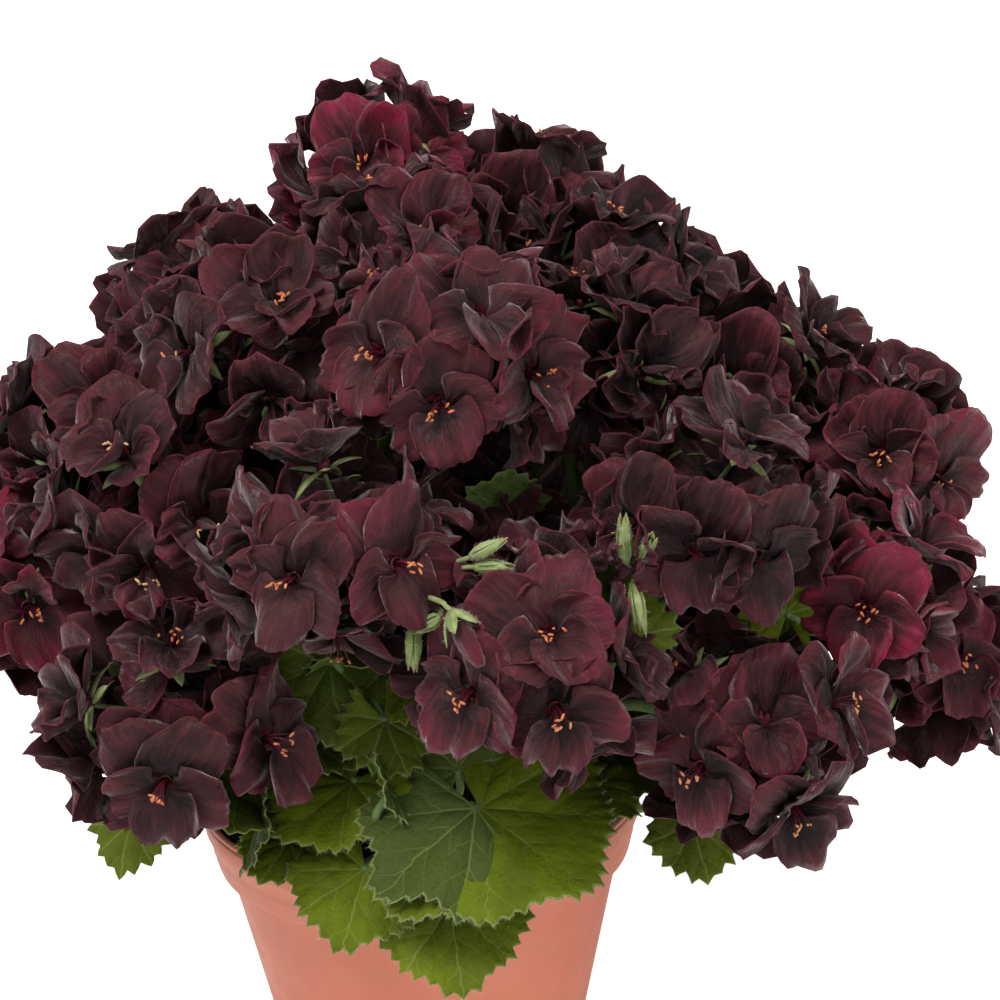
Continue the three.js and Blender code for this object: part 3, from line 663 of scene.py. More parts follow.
def all_round(number):
    """Directions spread evenly over a ball, along a spiral from its top to its bottom."""
    ways = []
    for i in range(number):
        height = 1 - (2 * i + 1) / number
        level = math.sqrt(1 - height * height)
        turn = i * GOLDEN_ANGLE
        ways.append(np.array([level * math.cos(turn), level * math.sin(turn), height]))
    return ways


def directions_of(name):
    """The directions of a head's flowers, the main ones first, and how many of them are main ones."""
    head, axis, walls = HEADS[name], axis_of(name), walls_of(name)
    chosen = [look(*face) for face in head["faces"]]
    main_tries, extra_tries = [], []
    for way in all_round(DIRECTION_TRIES):
        room = room_left(walls, way * (head["reach"] - FLOWER_DEPTH))[0]
        if way @ axis > MAIN_BEHIND and room > MAIN_ROOM:
            main_tries.append(way)
        if way @ axis > EXTRA_BEHIND and room > EXTRA_ROOM and way[2] > LOWEST_LOOK:
            extra_tries.append(way)
    if not chosen:
        chosen.append(max(main_tries, key=lambda way: way @ axis))

    def crowd(tries, number, apart):
        while len(chosen) < number:
            nearness = [max(taken @ way for taken in chosen) for way in tries]
            best = int(np.argmin(nearness))
            if nearness[best] > apart:
                break
            chosen.append(tries[best])

    crowd(main_tries, head["flowers"], FLOWERS_APART)
    main = len(chosen)
    crowd(extra_tries, main + EXTRA_FLOWERS, EXTRAS_APART)
    return chosen, main


print("directions tried for each head:", DIRECTION_TRIES)

# %% The flowers of a head
CRIMSON = {
    # how red the petals of a head are, from 0 to 1
    "side_right": 1.0, "side_left": 1.0, "crown_top": 0.95, "hem_right": 0.5, "flank_right": 0.45,
    "brow": 0.30, "crown_back": 0.3, "shoulder_left": 0.25, "skirt_right": 0.25, "skirt_left": 0.25,
    "middle": 0.24, "chin": 0.24, "cheek_left": 0.22, "cheek_right": 0.04, "crest_right": 0.0,
    "temple_right": 0.0,
}
CRIMSON_USUAL, CRIMSON_VARIES = 0.10, 0.25
CRIMSON_HIDDEN = 0.7  # the share that flowers which the photograph doesn't show have of it
HEAD_TONE_AND_SHADE = {
    # how light the petals of a head are: partly their own tone, partly painted shade that darkens heads lying
    # deep in the dome
    "middle": 0.7, "side_right": 0.6, "brow": 0.55, "crown_top": 0.5, "flank_right": 0.5, "chin": 0.5,
    "crown_back": 0.25, "crest": 0.2, "cheek_right": 0.2, "shoulder_right": 0.1, "temple_right": -0.1,
    "crest_right": -0.15,
}
HEAD_TONE_AND_SHADE_USUAL = 0.4
SINKS = {"shown": 0, "main": 0, "extra": 6, "inner": 17}  # mm deeper than the first flowers
SINK_VARIES = 5
HANGING, PRESSED_UP = -0.8, 9  # a flower under its head is pressed up by the leaves, mm
TOP_TURNS = 40  # degrees over which the tops of the flowers vary
BOX_SLACK = 3.0  # mm that a petal may leave the box of its head's solid
BOUNDS, BOUND_USUAL = {"flank_right": 2}, 6  # mm that petals may stand past their head's reach
STANDING = {"crown_top": 16}  # degrees that a head's petals stand steeper


def top_of(facing):
    """The direction that is upmost in a flower's face, or backmost in one that looks straight up or down."""
    top = UP - facing * facing[2]
    if np.linalg.norm(top) < 0.2:
        top = np.array([0, 1, 0]) - facing * facing[1]
    return unit(top)


def flowers_of(name):
    """Each flower of a head: where it is, where it looks, what is round it, its seed and its tint."""
    index = list(HEADS).index(name)
    head, hub, (wall_ways, wall_limits) = HEADS[name], hub_of(name), walls_of(name)
    directions, main = directions_of(name)
    shown, extra = len(head["faces"]), len(directions) - main
    box = np.array(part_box("head_" + name)) / MM + nudge_of(name)
    kinds = ["shown"] * shown + ["main"] * (main - shown) + ["extra"] * extra + ["inner"] * main
    flowers = []
    for k, (facing, kind) in enumerate(zip(directions + directions[:main], kinds)):
        seed = index * 100 + k * 10
        others = [] if kind == "inner" else [other for other in directions if other is not facing]
        between_flowers = np.reshape([unit(other - facing) for other in others], (-1, 3))
        sink = SINKS[kind] + (0 if k < main else spread(seed, 6, 2, SINK_VARIES))
        if facing[2] < HANGING and kind == "main":
            sink += PRESSED_UP
        crimson = CRIMSON.get(name, CRIMSON_USUAL) * (1 if k < shown else CRIMSON_HIDDEN)
        flowers.append({
            "kind": kind,
            "centre": hub + facing * (head["reach"] - FLOWER_DEPTH - sink),
            "hub": hub,
            "facing": facing,
            "top": turned(top_of(facing), facing, math.radians(spread(index * 10 + k, 5, 1, TOP_TURNS))),
            "walls": (
                np.concatenate([wall_ways, between_flowers]),
                np.concatenate([wall_limits, np.zeros(len(others))]),
            ),
            "seed": seed,
            "crimson": crimson + spread(seed, 7, 3, CRIMSON_VARIES),
            "light": HEAD_TONE_AND_SHADE.get(name, HEAD_TONE_AND_SHADE_USUAL),
            "box": (box[0] - BOX_SLACK, box[1] + BOX_SLACK),
            "bound": head["reach"] + BOUNDS.get(name, BOUND_USUAL),
            "standing": STANDING.get(name, 0),
        })
    return flowers


FLOWERS = {name: flowers_of(name) for name in HEADS}
print("flowers:", sum(len(flowers) for flowers in FLOWERS.values()))

# %% [markdown]
# Inside the dome more flowers are crowded on side branches. They are mostly hidden and in shade, but they
# are what one sees between the heads, instead of daylight. They ride on short umbels of their own.

# %% The umbels inside the dome
INNER_UMBELS = {
    # hub, and how far the flowers reach from it
    "inner_front": ((22, -44, 222), 27),
    "inner_front_low": ((4, -62, 200), 22),
    "inner_left": ((-42, -16, 222), 27),
    "inner_left_low": ((-52, -40, 196), 26),
    "inner_right": ((70, -22, 222), 27),
    "inner_right_low": ((84, -38, 186), 26),
    "inner_far_right": ((116, -8, 200), 26),
    "inner_far_left": ((-84, 14, 196), 26),
    "inner_top": ((24, 4, 262), 28),
    "inner_back": ((26, 62, 226), 30),
    "inner_back_left": ((-34, 54, 198), 28),
    "inner_back_right": ((84, 40, 196), 28),
    "inner_top_back": ((4, 50, 258), 26),
    "inner_top_right": ((82, 22, 244), 26),
    "inner_top_left": ((-40, 40, 246), 26),
}
UMBEL_FLOWERS = 7  # on the outer half of an umbel's ball
FIRST_UMBEL_SEED = 40  # in hundreds, past those of the heads
LEANING_FORWARD = np.array([0, -20, 0])
NO_WALLS = (np.array([[0.0, 0.0, 1.0]]), np.array([999.0]))


def umbel_flowers(name):
    """The flowers of an inner umbel, spread over the side of it that looks out of the dome."""
    place, reach = INNER_UMBELS[name]
    index = FIRST_UMBEL_SEED + list(INNER_UMBELS).index(name)
    hub = np.array(place, float)
    axis = unit(hub - CROWN_CENTRE + LEANING_FORWARD)
    outmost = sorted(all_round(UMBEL_FLOWERS * 2), key=lambda way: -way @ axis)
    return [{
        "kind": "inner",
        "centre": hub + facing * (reach - FLOWER_DEPTH),
        "hub": hub,
        "facing": facing,
        "top": top_of(facing),
        "walls": NO_WALLS,
        "seed": index * 100 + k * 10,
        "crimson": 0.1,
        # painted shade: the flowers inside the dome are made darker than a usual head
        "light": 0.2,
        "box": np.array(cad_box) / MM,
        "bound": reach + 8,
        "standing": 0,
    } for k, facing in enumerate(outmost[:UMBEL_FLOWERS])]


UMBELS = {name: umbel_flowers(name) for name in INNER_UMBELS}
print("flowers inside:", sum(len(flowers) for flowers in UMBELS.values()))

# %% [markdown]
# ## Petals: the form
# Each flower has five petals round a short funnel: two broad ones at the top that overlap behind, two at
# the sides, and one in front at the bottom. A petal leaves the funnel steeply, flares to the flower's face
# and curls back a little at its margin. It could be sculpted or simulated, but a formula is quicker for
# two thousand of them: the length is rolled out along a bending profile, the width is wrapped round the
# funnel, and waves are added, gentle ones over the whole petal and tight ones at its margin. Where
# neighbours press, the petal stands up until it has room, and what is still in the way is bent up.

# %% The profile of a petal
PETALS = [
    # turn from the top in degrees, length, half width, and how far in front of the others it lies
    {"turn": 33, "length": 25.0, "half_width": 16.0, "layer": -1.0},
    {"turn": 108, "length": 20.5, "half_width": 13.5, "layer": 0.2},
    {"turn": 180, "length": 20.5, "half_width": 14.0, "layer": 1.2},
    {"turn": 252, "length": 20.5, "half_width": 13.5, "layer": 0.5},
    {"turn": 327, "length": 25.0, "half_width": 16.0, "layer": -0.4},
]
FRONT_TO_BACK = (2, 3, 1, 4, 0)
FUNNEL_DEPTH = 6.5
FUNNEL_RADIUS = 1.3
FUNNEL_STEEP = math.radians(64)
FUNNEL_SHARE = 0.30  # of a petal's length
PROFILE_STEPS = 40
CURL_START = 0.45  # the share of its length past which a petal curls back
CURLED_LEAST, CURLED_VARIES = 10, 46  # degrees by which its margin then does


def petal_profile(lift, recurve, length):
    """How far out and how high a petal's middle runs, and its slope, at even steps of its length."""
    steps = np.linspace(0, 1, PROFILE_STEPS + 1)
    steep = FUNNEL_STEEP * np.maximum(1 - steps / FUNNEL_SHARE, 0) ** 1.2
    curled = recurve * np.maximum((steps - CURL_START) / (1 - CURL_START), 0) ** 1.4
    slope = math.radians(lift) + steep - curled
    outs = np.concatenate([[0], np.cumsum(np.cos(slope[:-1]))]) / PROFILE_STEPS * length + FUNNEL_RADIUS
    highs = np.concatenate([[0], np.cumsum(np.sin(slope[:-1]))]) / PROFILE_STEPS * length - FUNNEL_DEPTH
    return steps, outs, highs, slope


print("a flat petal 25 mm long reaches out", round(petal_profile(0, 0, 25.0)[1][-1], 1), "mm")

# %% The outline and the waves of a petal
LENGTH_VARIES, WIDTH_VARIES = 0.16, 0.20  # shares
TURN_VARIES = 14  # degrees
FOOT_HALF_WIDTH = 1.1
WIDEST = 0.74  # the share of its length at which a petal is widest
CORNERS, CORNER_POWER = 0.36, 2.5  # how much shorter a petal is at its sides, and how suddenly
NOTCH_DEPTH, NOTCH_HALF_WIDTH = 0.06, 0.16
FINE_COLUMNS, FRILL_COLUMNS = 12, 24  # small nicks and crimps take more columns than this to be drawn
BROAD_NICKS, SMALL_NICKS, TINY_NICKS = 0.013, 0.009, 0.017  # shares of the length
LEAN, CROSS = 0.20, 0.034
FOLD, PLEAT, RUFFLE, CRIMP = 1.9, 0.95, 0.9, 0.42  # mm
CURL_SPAN, CURL_LEAST, CURL_EDGE = 11, 4, 0.4
TIGHTEST_WRAP = 9.0  # mm
SHIFT, MARGIN_SHIFT = 6.3, 6  # how far a draw may shift a wave along, in radians


def wave(angle, seed, row, draw, shift=SHIFT):
    """A wave that starts where a draw puts it."""
    return np.sin(angle + shift * chance(seed, row, draw))


def petal_margin(x, seed, columns):
    """How long a petal is at each place across it, as a share, and how uneven its margin is there."""
    fine = 1 if columns > FINE_COLUMNS else 0
    frill = 1 if columns > FRILL_COLUMNS else 0
    from_notch = (x - spread(seed, 1, 4, 0.8)) / NOTCH_HALF_WIDTH
    notch = NOTCH_DEPTH * chance(seed, 1, 3) * np.exp(-from_notch ** 2)
    outline = 1 - CORNERS * np.abs(x) ** CORNER_POWER - notch
    outline = outline + BROAD_NICKS * wave(8 * x, seed, 1, 5, MARGIN_SHIFT)
    outline = outline + SMALL_NICKS * fine * np.sin(14 * x + seed)
    uneven = frill * (0.4 + 0.6 * wave(3.1 * x, seed, 1, 6, MARGIN_SHIFT) ** 2)
    return outline + TINY_NICKS * uneven * wave(27 * x, seed, 1, 7, MARGIN_SHIFT), uneven


def petal_relief(flower, petal, x, rho, sideways, distance, uneven):
    """How far each point stands in front of the petal's smooth form: folds, pleats, ruffles and a curl."""
    seed, wild = flower["seed"] + petal["number"], flower["wild"]
    lean = spread(seed, 3, 1, LEAN) * sideways * distance
    cross = spread(seed, 3, 2, CROSS) * sideways ** 2 * distance
    folds = FOLD * wild * wave(2.6 * x + 2.0 * rho, seed, 3, 3) * rho ** 1.3
    pleats = PLEAT * wild * wave((5 + 3 * chance(seed, 3, 4)) * x, seed, 3, 5) * rho ** 1.6
    ruffle = RUFFLE * wild * wave((8 + 4 * chance(seed, 3, 6)) * x, seed, 3, 7) * rho ** 4
    crimp = CRIMP * uneven * wave(25 * x, seed, 1, 8, MARGIN_SHIFT) * rho ** 9
    side = 1 if chance(seed, 3, 8) > 0.5 else -1
    past = np.maximum(x * side - CURL_EDGE, 0)
    curl = wild * (CURL_SPAN * chance(seed, 3, 9) - CURL_LEAST) * past ** 2 * rho
    return lean + cross + folds + pleats + ruffle + crimp + curl + petal["layer"] * (0.4 + rho)


def petal_grid(flower, petal, lift, columns, rows):
    """The points of a petal, how far across (-1 to 1) and along (0 to 1) they lie, and where its back is."""
    seed, size, facing = flower["seed"] + petal["number"], flower["size"], flower["facing"]
    x = np.linspace(-1, 1, columns + 1)[None, :] * np.ones((rows + 1, 1))
    rho = np.linspace(0, 1, rows + 1)[:, None] ** 0.9 * np.ones((1, columns + 1))
    length = petal["length"] * size * (1 + spread(seed, 1, 1, LENGTH_VARIES))
    half_width = petal["half_width"] * size * (1 + spread(seed, 1, 2, WIDTH_VARIES))
    outline, uneven = petal_margin(x, seed, columns)
    distance = rho * outline
    swell = np.sin(math.pi / 2 * np.minimum(1, rho / WIDEST)) ** 1.15
    narrowing = 1 - 0.10 * np.maximum(rho - WIDEST, 0) / (1 - WIDEST)
    sideways = x * (FOOT_HALF_WIDTH + (half_width - FOOT_HALF_WIDTH) * swell * narrowing)

    recurve = math.radians(CURLED_LEAST + CURLED_VARIES * chance(seed, 2, 1))
    steps, outs, highs, slope = petal_profile(lift, recurve, length)
    out = np.interp(distance, steps, outs)
    high = np.interp(distance, steps, highs)
    tilt = np.interp(distance, steps, slope)
    relief = petal_relief(flower, petal, x, rho, sideways, distance, uneven)

    outward = turned(flower["top"], facing, math.radians(petal["turn"] + spread(seed, 4, 1, TURN_VARIES)))
    aside = np.cross(facing, outward)
    wrap = sideways / np.maximum(out, TIGHTEST_WRAP)
    radial = np.cos(wrap)[..., None] * outward + np.sin(wrap)[..., None] * aside
    reach = (out - relief * np.sin(tilt))[..., None]
    level = (high + relief * np.cos(tilt))[..., None]
    back = outward * math.sin(math.radians(lift)) - facing * math.cos(math.radians(lift))
    return flower["centre"] + radial * reach + facing * level, x, rho, back


print("petals to a flower:", len(PETALS))

# %% Room for a petal
PETAL_SLACK = 3.5  # mm that petals of neighbours may lap over each other
TRY_SLACK = 2.5  # mm more while a stand is tried
LIFTS = (6, 16, 28, 40, 52, 62, 72)  # degrees above the face that a crowded petal may stand
LIFT_VARIES, LIFT_SHORT = 12, 6  # degrees, and how far below its least lift a petal may stand
STANCES = {"shown": (4, 12), "main": (14, 30), "extra": (24, 34), "inner": (10, 30)}  # least lift, and spread
TRY_GRID = (6, 3)
PRESSED_BACK, PRESSED_OUT = 0.8, 0.35  # shares of what lies past a wall
HELD_IN, BOXED_IN = 0.6, 0.7  # shares of what lies past a head's bound, and past its box


def bent_clear(flower, points):
    """Points past the walls to the neighbours are pressed back, and out from the head."""
    offsets = points - flower["hub"]
    for direction, limit in zip(*flower["walls"]):
        past = np.maximum(offsets @ direction - limit - PETAL_SLACK, 0)[..., None]
        offsets = offsets - direction * past * PRESSED_BACK + flower["facing"] * past * PRESSED_OUT
    away = np.linalg.norm(offsets, axis=-1, keepdims=True)
    points = flower["hub"] + offsets * (1 - HELD_IN * np.maximum(away - flower["bound"], 0) / away)
    lowest, highest = flower["box"]
    return points + BOXED_IN * (np.maximum(lowest - points, 0) - np.maximum(points - highest, 0))


def best_lift(flower, petal):
    """The flattest stand that has room between the neighbours."""
    least, wide = STANCES[flower["kind"]]
    least += wide * chance(flower["seed"], 4, 5) + flower["standing"]
    for lift in LIFTS:
        if lift < least - LIFT_SHORT:
            continue
        tilted = lift + spread(flower["seed"] + petal["number"], 4, 2, LIFT_VARIES)
        points = petal_grid(flower, petal, tilted, *TRY_GRID)[0]
        if room_left(flower["walls"], points[-1] - flower["hub"]).min() > -PETAL_SLACK - TRY_SLACK:
            break
    return tilted


print("stands to try:", len(LIFTS))

# %% [markdown]
# Petals that overlap must not cut through each other. The petals of a flower are laid from the front to the
# back, as a card player fans a hand. Each one leaves a map of how low it hangs, and the next is pushed back
# along its own columns until it lies behind that map.

# %% Laying petals behind each other
MAP_HALF = 34  # cells, each 1 mm wide
PETAL_CLEARANCE = 0.7
LONGEST_PUSH = 6.0
FOOT_SHARE, FREE_SHARE = 0.18, 0.45  # where along a petal the push starts, and where it is whole
FAR_IN_FRONT = 99.0


def finer(grid, times):
    """A grid of points with more points between them, in straight lines."""
    for axis in (0, 1):
        count = grid.shape[axis]
        share = np.linspace(0, count - 1, (count - 1) * times + 1)
        low = np.minimum(share.astype(int), count - 2)
        part = (share - low).reshape([-1 if k == axis else 1 for k in range(3)])
        grid = np.take(grid, low, axis) * (1 - part) + np.take(grid, low + 1, axis) * part
    return grid


def map_cells(flower, points):
    """The map cell of each point, and its height over the flower's face."""
    offsets = points - flower["centre"]
    side = np.cross(flower["facing"], flower["top"])
    cells = [np.round(offsets @ way).astype(int) + MAP_HALF for way in (flower["top"], side)]
    return *np.clip(cells, 0, 2 * MAP_HALF), offsets @ flower["facing"]


def laid_behind(flower, grid, rho, back, lowest):
    """The petal pushed back until it lies behind the map of the petals in front, which it then joins."""
    u, v, height = map_cells(flower, grid)
    past = np.where(rho > FOOT_SHARE, height - lowest[u, v] + PETAL_CLEARANCE, 0)
    push = np.clip(past, 0, LONGEST_PUSH).max(axis=0)
    for _ in range(2):
        push = np.maximum(push, np.convolve(np.pad(push, 1, mode="edge"), [0.3, 0.4, 0.3], "valid"))
    grid = grid + back * (push[None, :] * np.minimum(rho / FREE_SHARE, 1))[..., None]
    u, v, height = map_cells(flower, finer(grid, 3))
    for du in (-1, 0, 1):
        for dv in (-1, 0, 1):
            cell = (np.clip(u + du, 0, 2 * MAP_HALF), np.clip(v + dv, 0, 2 * MAP_HALF))
            np.minimum.at(lowest, cell, height)
    return grid


print("map cells each way:", 2 * MAP_HALF + 1)

# %% All petals
GRIDS = {"shown": (28, 8), "main": (14, 6), "extra": (10, 5), "inner": (6, 4)}  # columns and rows
BACK_GRIDS = {"shown": (14, 6), "main": (11, 4), "extra": (8, 4), "inner": (5, 3)}
BACK_LINE = 28  # mm behind the pot's middle, past which petals are made with fewer faces
SIZES = {"shown": 1.0, "main": 1.03, "extra": 0.97, "inner": 0.92}
SIZE_VARIES = 0.12
WILDNESS = {"shown": 1.3, "main": 1.5, "extra": 1.6, "inner": 1.5}  # how deep the folds are
PETAL_THICKNESS = 0.32
PETAL_CRIMSON_VARIES, PETAL_LIGHT_VARIES = 0.3, 0.5
VEIN_SEEDS = 40  # the seeds from which the veins of a petal may be drawn

for head_name, flowers in {**FLOWERS, **UMBELS}.items():
    petals = Shape()
    for flower in flowers:
        kind = flower["kind"]
        flower["size"] = SIZES[kind] * (1 + spread(flower["seed"], 8, 1, SIZE_VARIES))
        flower["wild"] = WILDNESS[kind]
        columns, rows = (BACK_GRIDS if flower["centre"][1] > BACK_LINE else GRIDS)[kind]
        lowest = np.full((2 * MAP_HALF + 1, 2 * MAP_HALF + 1), FAR_IN_FRONT)
        for number in FRONT_TO_BACK:
            petal = {**PETALS[number], "number": number}
            seed = flower["seed"] + number
            grid, x, rho, back = petal_grid(flower, petal, best_lift(flower, petal), columns, rows)
            grid = laid_behind(flower, grid, rho, back, lowest)
            points, faces, mark = sheet(bent_clear(flower, grid), PETAL_THICKNESS)
            crimson = flower["crimson"] + spread(seed, 9, 1, PETAL_CRIMSON_VARIES)
            light = flower["light"] + spread(seed, 9, 2, PETAL_LIGHT_VARIES)
            place = np.stack([twice(x), twice(rho), mark], axis=-1)
            petals.add(points, faces, place=place, tint=(crimson, light, chance(seed, 9, 3) * VEIN_SEEDS))
    replaced = ["head_" + head_name] if head_name in HEADS else []
    make_piece("petals_" + head_name, petals, petal_finish, replaced)
print("petal triangles:", sum(TRIANGLES.values()), "most in a head:", max(TRIANGLES.values()))

# %% [markdown]
# ## Throats and stamens
# Where the five petals meet, a small dark crimson cup closes the funnel. Out of it come six or seven
# crimson filaments that lean towards the bottom petal, and each carries an oblong orange anther.

# %% Their finishes
def mottled(tree, dark, light, scale, contrast):
    """Two colours in soft patches, and the patches themselves."""
    patches = use_group(tree, mottle, Scale=scale, Contrast=contrast)
    return layered(tree, dark, (patches["Patches"], light)), patches


THROAT_DARK = (0.030, 0.002, 0.006, 1)
THROAT_LIGHT = (0.150, 0.004, 0.022, 1)
ANTHER_DARK = (0.42, 0.10, 0.032, 1)
ANTHER_ORANGE = (0.78, 0.27, 0.11, 1)
ANTHER_OLD = (0.78, 0.56, 0.28, 1)

throat_finish, tree, shader = new_material("crimson_throat")
colour, _ = mottled(tree, THROAT_DARK, THROAT_LIGHT, 300.0, 0.5)
fill(tree, shader, {"Base Color": colour, "Roughness": 0.55})

anther_finish, tree, shader = new_material("orange_anther")
old, _, _ = attribute(tree, "tint")
colour, _ = mottled(tree, ANTHER_DARK, ANTHER_ORANGE, 700.0, 0.5)
pollen = use_group(tree, down, Scale=4000.0, Amount=0.6)["Height"]
fill(tree, shader, {
    "Base Color": layered(tree, colour, (old, ANTHER_OLD)),
    "Roughness": 0.7,
    "Normal": bumped(tree, pollen, 0.4, 0.0002),
})
print("materials:", throat_finish.name, anther_finish.name)

# %% Throats and stamens, head by head
CUP = [(-9.0, 1.0), (-7.9, 1.8), (-6.8, 2.1), (-5.6, 2.2)]  # height over the face, and radius
CUP_FLOOR, CUP_WALL = 0.4, 0.35
CUP_SIDES = 10
STAMENS = 7
FILAMENT_RADII = [0.34, 0.30, 0.26, 0.22, 0.18]
ANTHER = {"length": 2.0, "radius": 0.44}
FANNED, DROOP, DROOP_VARIES = 7.0, 1.4, 4.4  # mm that anthers stand apart, and below the flower's middle
SHED_ABOVE = 0.6  # the draw above which a flower that isn't seen from the front has shed its stamens
HIDDEN_STAMENS = "cheek_right"  # a head in which only the first flower shows its stamens
CREAM = {"cheek_left": 0.9, "skirt_right": 0.3}  # heads whose anthers are old and pale


def cup_rings(flower):
    """The skin of a small open cup round a flower's axis, down its outside and up its inside."""
    side = np.cross(flower["facing"], flower["top"])
    angles = ring_angles(CUP_SIDES)[:, None]
    ring = np.cos(angles) * flower["top"] + np.sin(angles) * side
    inside = [(height + CUP_FLOOR, radius - CUP_WALL) for height, radius in CUP[::-1]]
    rings = [
        flower["centre"] + flower["size"] * (ring * radius + flower["facing"] * height)
        for height, radius in CUP + inside
    ]
    quads, index, _ = ring_quads(len(rings), CUP_SIDES)
    return np.concatenate(rings), [quads, np.stack([index[0, ::-1], index[-1]])]


def has_stamens(head_name, number, flower):
    """Whether a flower still carries its stamens where they can be seen."""
    if flower["kind"] == "extra" or (head_name == HIDDEN_STAMENS and number > 0):
        return False
    return flower["kind"] == "shown" or chance(flower["seed"], 6, 6) <= SHED_ABOVE


def add_stamens(filaments, anthers, flower, cream):
    """A flower's filaments, each with an anther across its tip, paler the more cream it is."""
    facing, top, seed = flower["facing"], flower["top"], flower["seed"]
    side = np.cross(facing, top)
    for s in range(STAMENS):
        aside, below = spread(seed, s, 1, FANNED), DROOP + spread(seed, s, 2, DROOP_VARIES)
        tip = flower["centre"] + facing * (0.6 + 2.8 * chance(seed, s, 3)) + side * aside - top * below
        foot = flower["centre"] - facing * 7
        middle = (foot + tip) / 2 + top * 0.8 + facing * 0.8
        filaments.add(*tube(smooth_route([foot, middle, tip], 2), FILAMENT_RADII, 3))
        lie = side * spread(seed, s, 4, 2.0) + top * spread(seed, s, 5, 2.0)
        lie = lie + facing * spread(seed, s, 6, 1.2)
        long = ANTHER["length"] * (0.75 + 0.5 * chance(seed, s, 7))
        tint = (cream * chance(seed, s, 8) ** 0.5, 0, 0)
        anthers.add(*pod(tip + facing * 0.3, lie, long, ANTHER["radius"], 5, 4), tint=tint)


for head_name, flowers in FLOWERS.items():
    throats, anthers = Shape(), Shape()
    for number, flower in enumerate(flowers):
        if flower["kind"] == "inner":
            continue
        throats.add(*cup_rings(flower))
        if has_stamens(head_name, number, flower):
            add_stamens(throats, anthers, flower, CREAM.get(head_name, 0))
    make_piece("throats_" + head_name, throats, throat_finish, ["head_" + head_name])
    if anthers.count:
        make_piece("anthers_" + head_name, anthers, anther_finish, ["head_" + head_name])
print("triangles so far:", sum(TRIANGLES.values()))

# %% [markdown]
# ## Foliage: the finish
# A leaf is a dull, hairy green, yellower where it is young or where light comes through it. Pale veins spread
# from the petiole like fingers and fork, the blade is puffed up a little between them, and its toothed margin
# is pale. Each point of a leaf knows its angle from the midrib and its distance from the petiole, so the
# veins are drawn in those terms, by a group of their own.

# %% The hand of veins
VEIN_SPACING = 0.7  # radians between the main veins
RUNG_SPACING = 9.5  # mm between the side veins, along a main one
CELLS = 420.0  # of the finest net of veins, in a metre

hand, ends_in, ends_out = new_group(
    "hand_veins", {"Angle": 0.0, "Distance": 0.0, "Spacing": VEIN_SPACING, "Seed": 0.0}, ["Veins", "Relief"],
)
nearby = calc(hand, "MULTIPLY", ends_in["Distance"], 0.1)
place = node(hand, "CombineXYZ", {0: ends_in["Angle"], 1: nearby, 2: ends_in["Seed"]}).outputs[0]
wobble = calc(hand, "SUBTRACT", noise(hand, place, 1.6, 2.0), MID_GREY)
bent = calc(hand, "ADD", ends_in["Angle"], calc(hand, "MULTIPLY", wobble, 0.20))
turns = calc(hand, "DIVIDE", bent, ends_in["Spacing"])
nearest = calc(hand, "ABSOLUTE", calc(hand, "SUBTRACT", turns, calc(hand, "ROUND", turns)))
aside = calc(hand, "MULTIPLY", nearest, ends_in["Spacing"], ends_in["Distance"])  # mm from a main vein
width = between(hand, ends_in["Distance"], 0.0, 40.0, 0.62, 0.22)
main_vein = calc(hand, "SUBTRACT", 1.0, calc(hand, "DIVIDE", aside, width), clamp=True)
chevron = calc(hand, "SUBTRACT", ends_in["Distance"], calc(hand, "MULTIPLY", aside, 1.25))
chevron = calc(hand, "ADD", chevron, calc(hand, "MULTIPLY", wobble, 2.5))
rung = calc(hand, "DIVIDE", chevron, RUNG_SPACING)
rung = calc(hand, "ABSOLUTE", calc(hand, "SUBTRACT", rung, calc(hand, "ROUND", rung)))
side_vein = calc(
    hand, "MULTIPLY",
    between(hand, rung, 0.0, 0.034, 0.75, 0.0),
    between(hand, ends_in["Distance"], 4.0, 9.0),
    between(hand, aside, 0.5, 8.0, 1.0, 0.25),
)
cells = node(hand, "TexVoronoi", {"Vector": object_place(hand), "Scale": CELLS}, feature="DISTANCE_TO_EDGE")
from_edge = cells.outputs["Distance"]
net = between(hand, from_edge, 0.0, 0.09, 0.09, 0.0)
hand.links.new(calc(hand, "MAXIMUM", main_vein, side_vein, net), ends_out["Veins"])
puff = between(hand, rung, 0.0, 0.35, 0.0, 1.0)
quilt = between(hand, from_edge, 0.0, 0.4, 0.0, 0.5)
hand.links.new(calc(hand, "ADD", puff, quilt), ends_out["Relief"])
print("group: hand_veins")

# %% The leaf, the stalk and the sepal
LEAF_DEEP = (0.034, 0.050, 0.004, 1)
LEAF_MIDDLE = (0.082, 0.112, 0.009, 1)
LEAF_YOUNG = (0.140, 0.182, 0.007, 1)
# a dull grey-green: partly a leaf's own tone, partly painted shade
LEAF_GREY_AND_SHADE = (0.050, 0.068, 0.022, 1)
LEAF_VEIN = (0.230, 0.290, 0.075, 1)
LEAF_EDGE = (0.240, 0.290, 0.090, 1)
LEAF_BACK = (0.110, 0.160, 0.050, 1)
HAIR = (0.62, 0.66, 0.50, 1)
STALK_DARK = (0.060, 0.110, 0.024, 1)
STALK_LIGHT = (0.180, 0.260, 0.070, 1)
SEPAL_GREEN = (0.170, 0.225, 0.055, 1)
SEPAL_PALE = (0.370, 0.430, 0.170, 1)
SEPAL_RIB = (0.075, 0.150, 0.030, 1)
SEPAL_TIP = (0.250, 0.130, 0.060, 1)
HAIR_DARK = (0.42, 0.48, 0.30, 1)
HAIR_LIGHT = (0.75, 0.78, 0.64, 1)
DOWNY = {"Roughness": 0.6, "Sheen Weight": 0.1}
DOWN_STRENGTH, DOWN_DEPTH = 0.4, 0.0004


def haired(tree, colour, share, scale, amount):
    """A colour with a share of pale hair tips in it, and the height of the hairs."""
    grain = use_group(tree, down, Scale=scale, Amount=amount)
    return layered(tree, colour, (calc(tree, "MULTIPLY", grain["Tips"], share), HAIR)), grain["Height"]


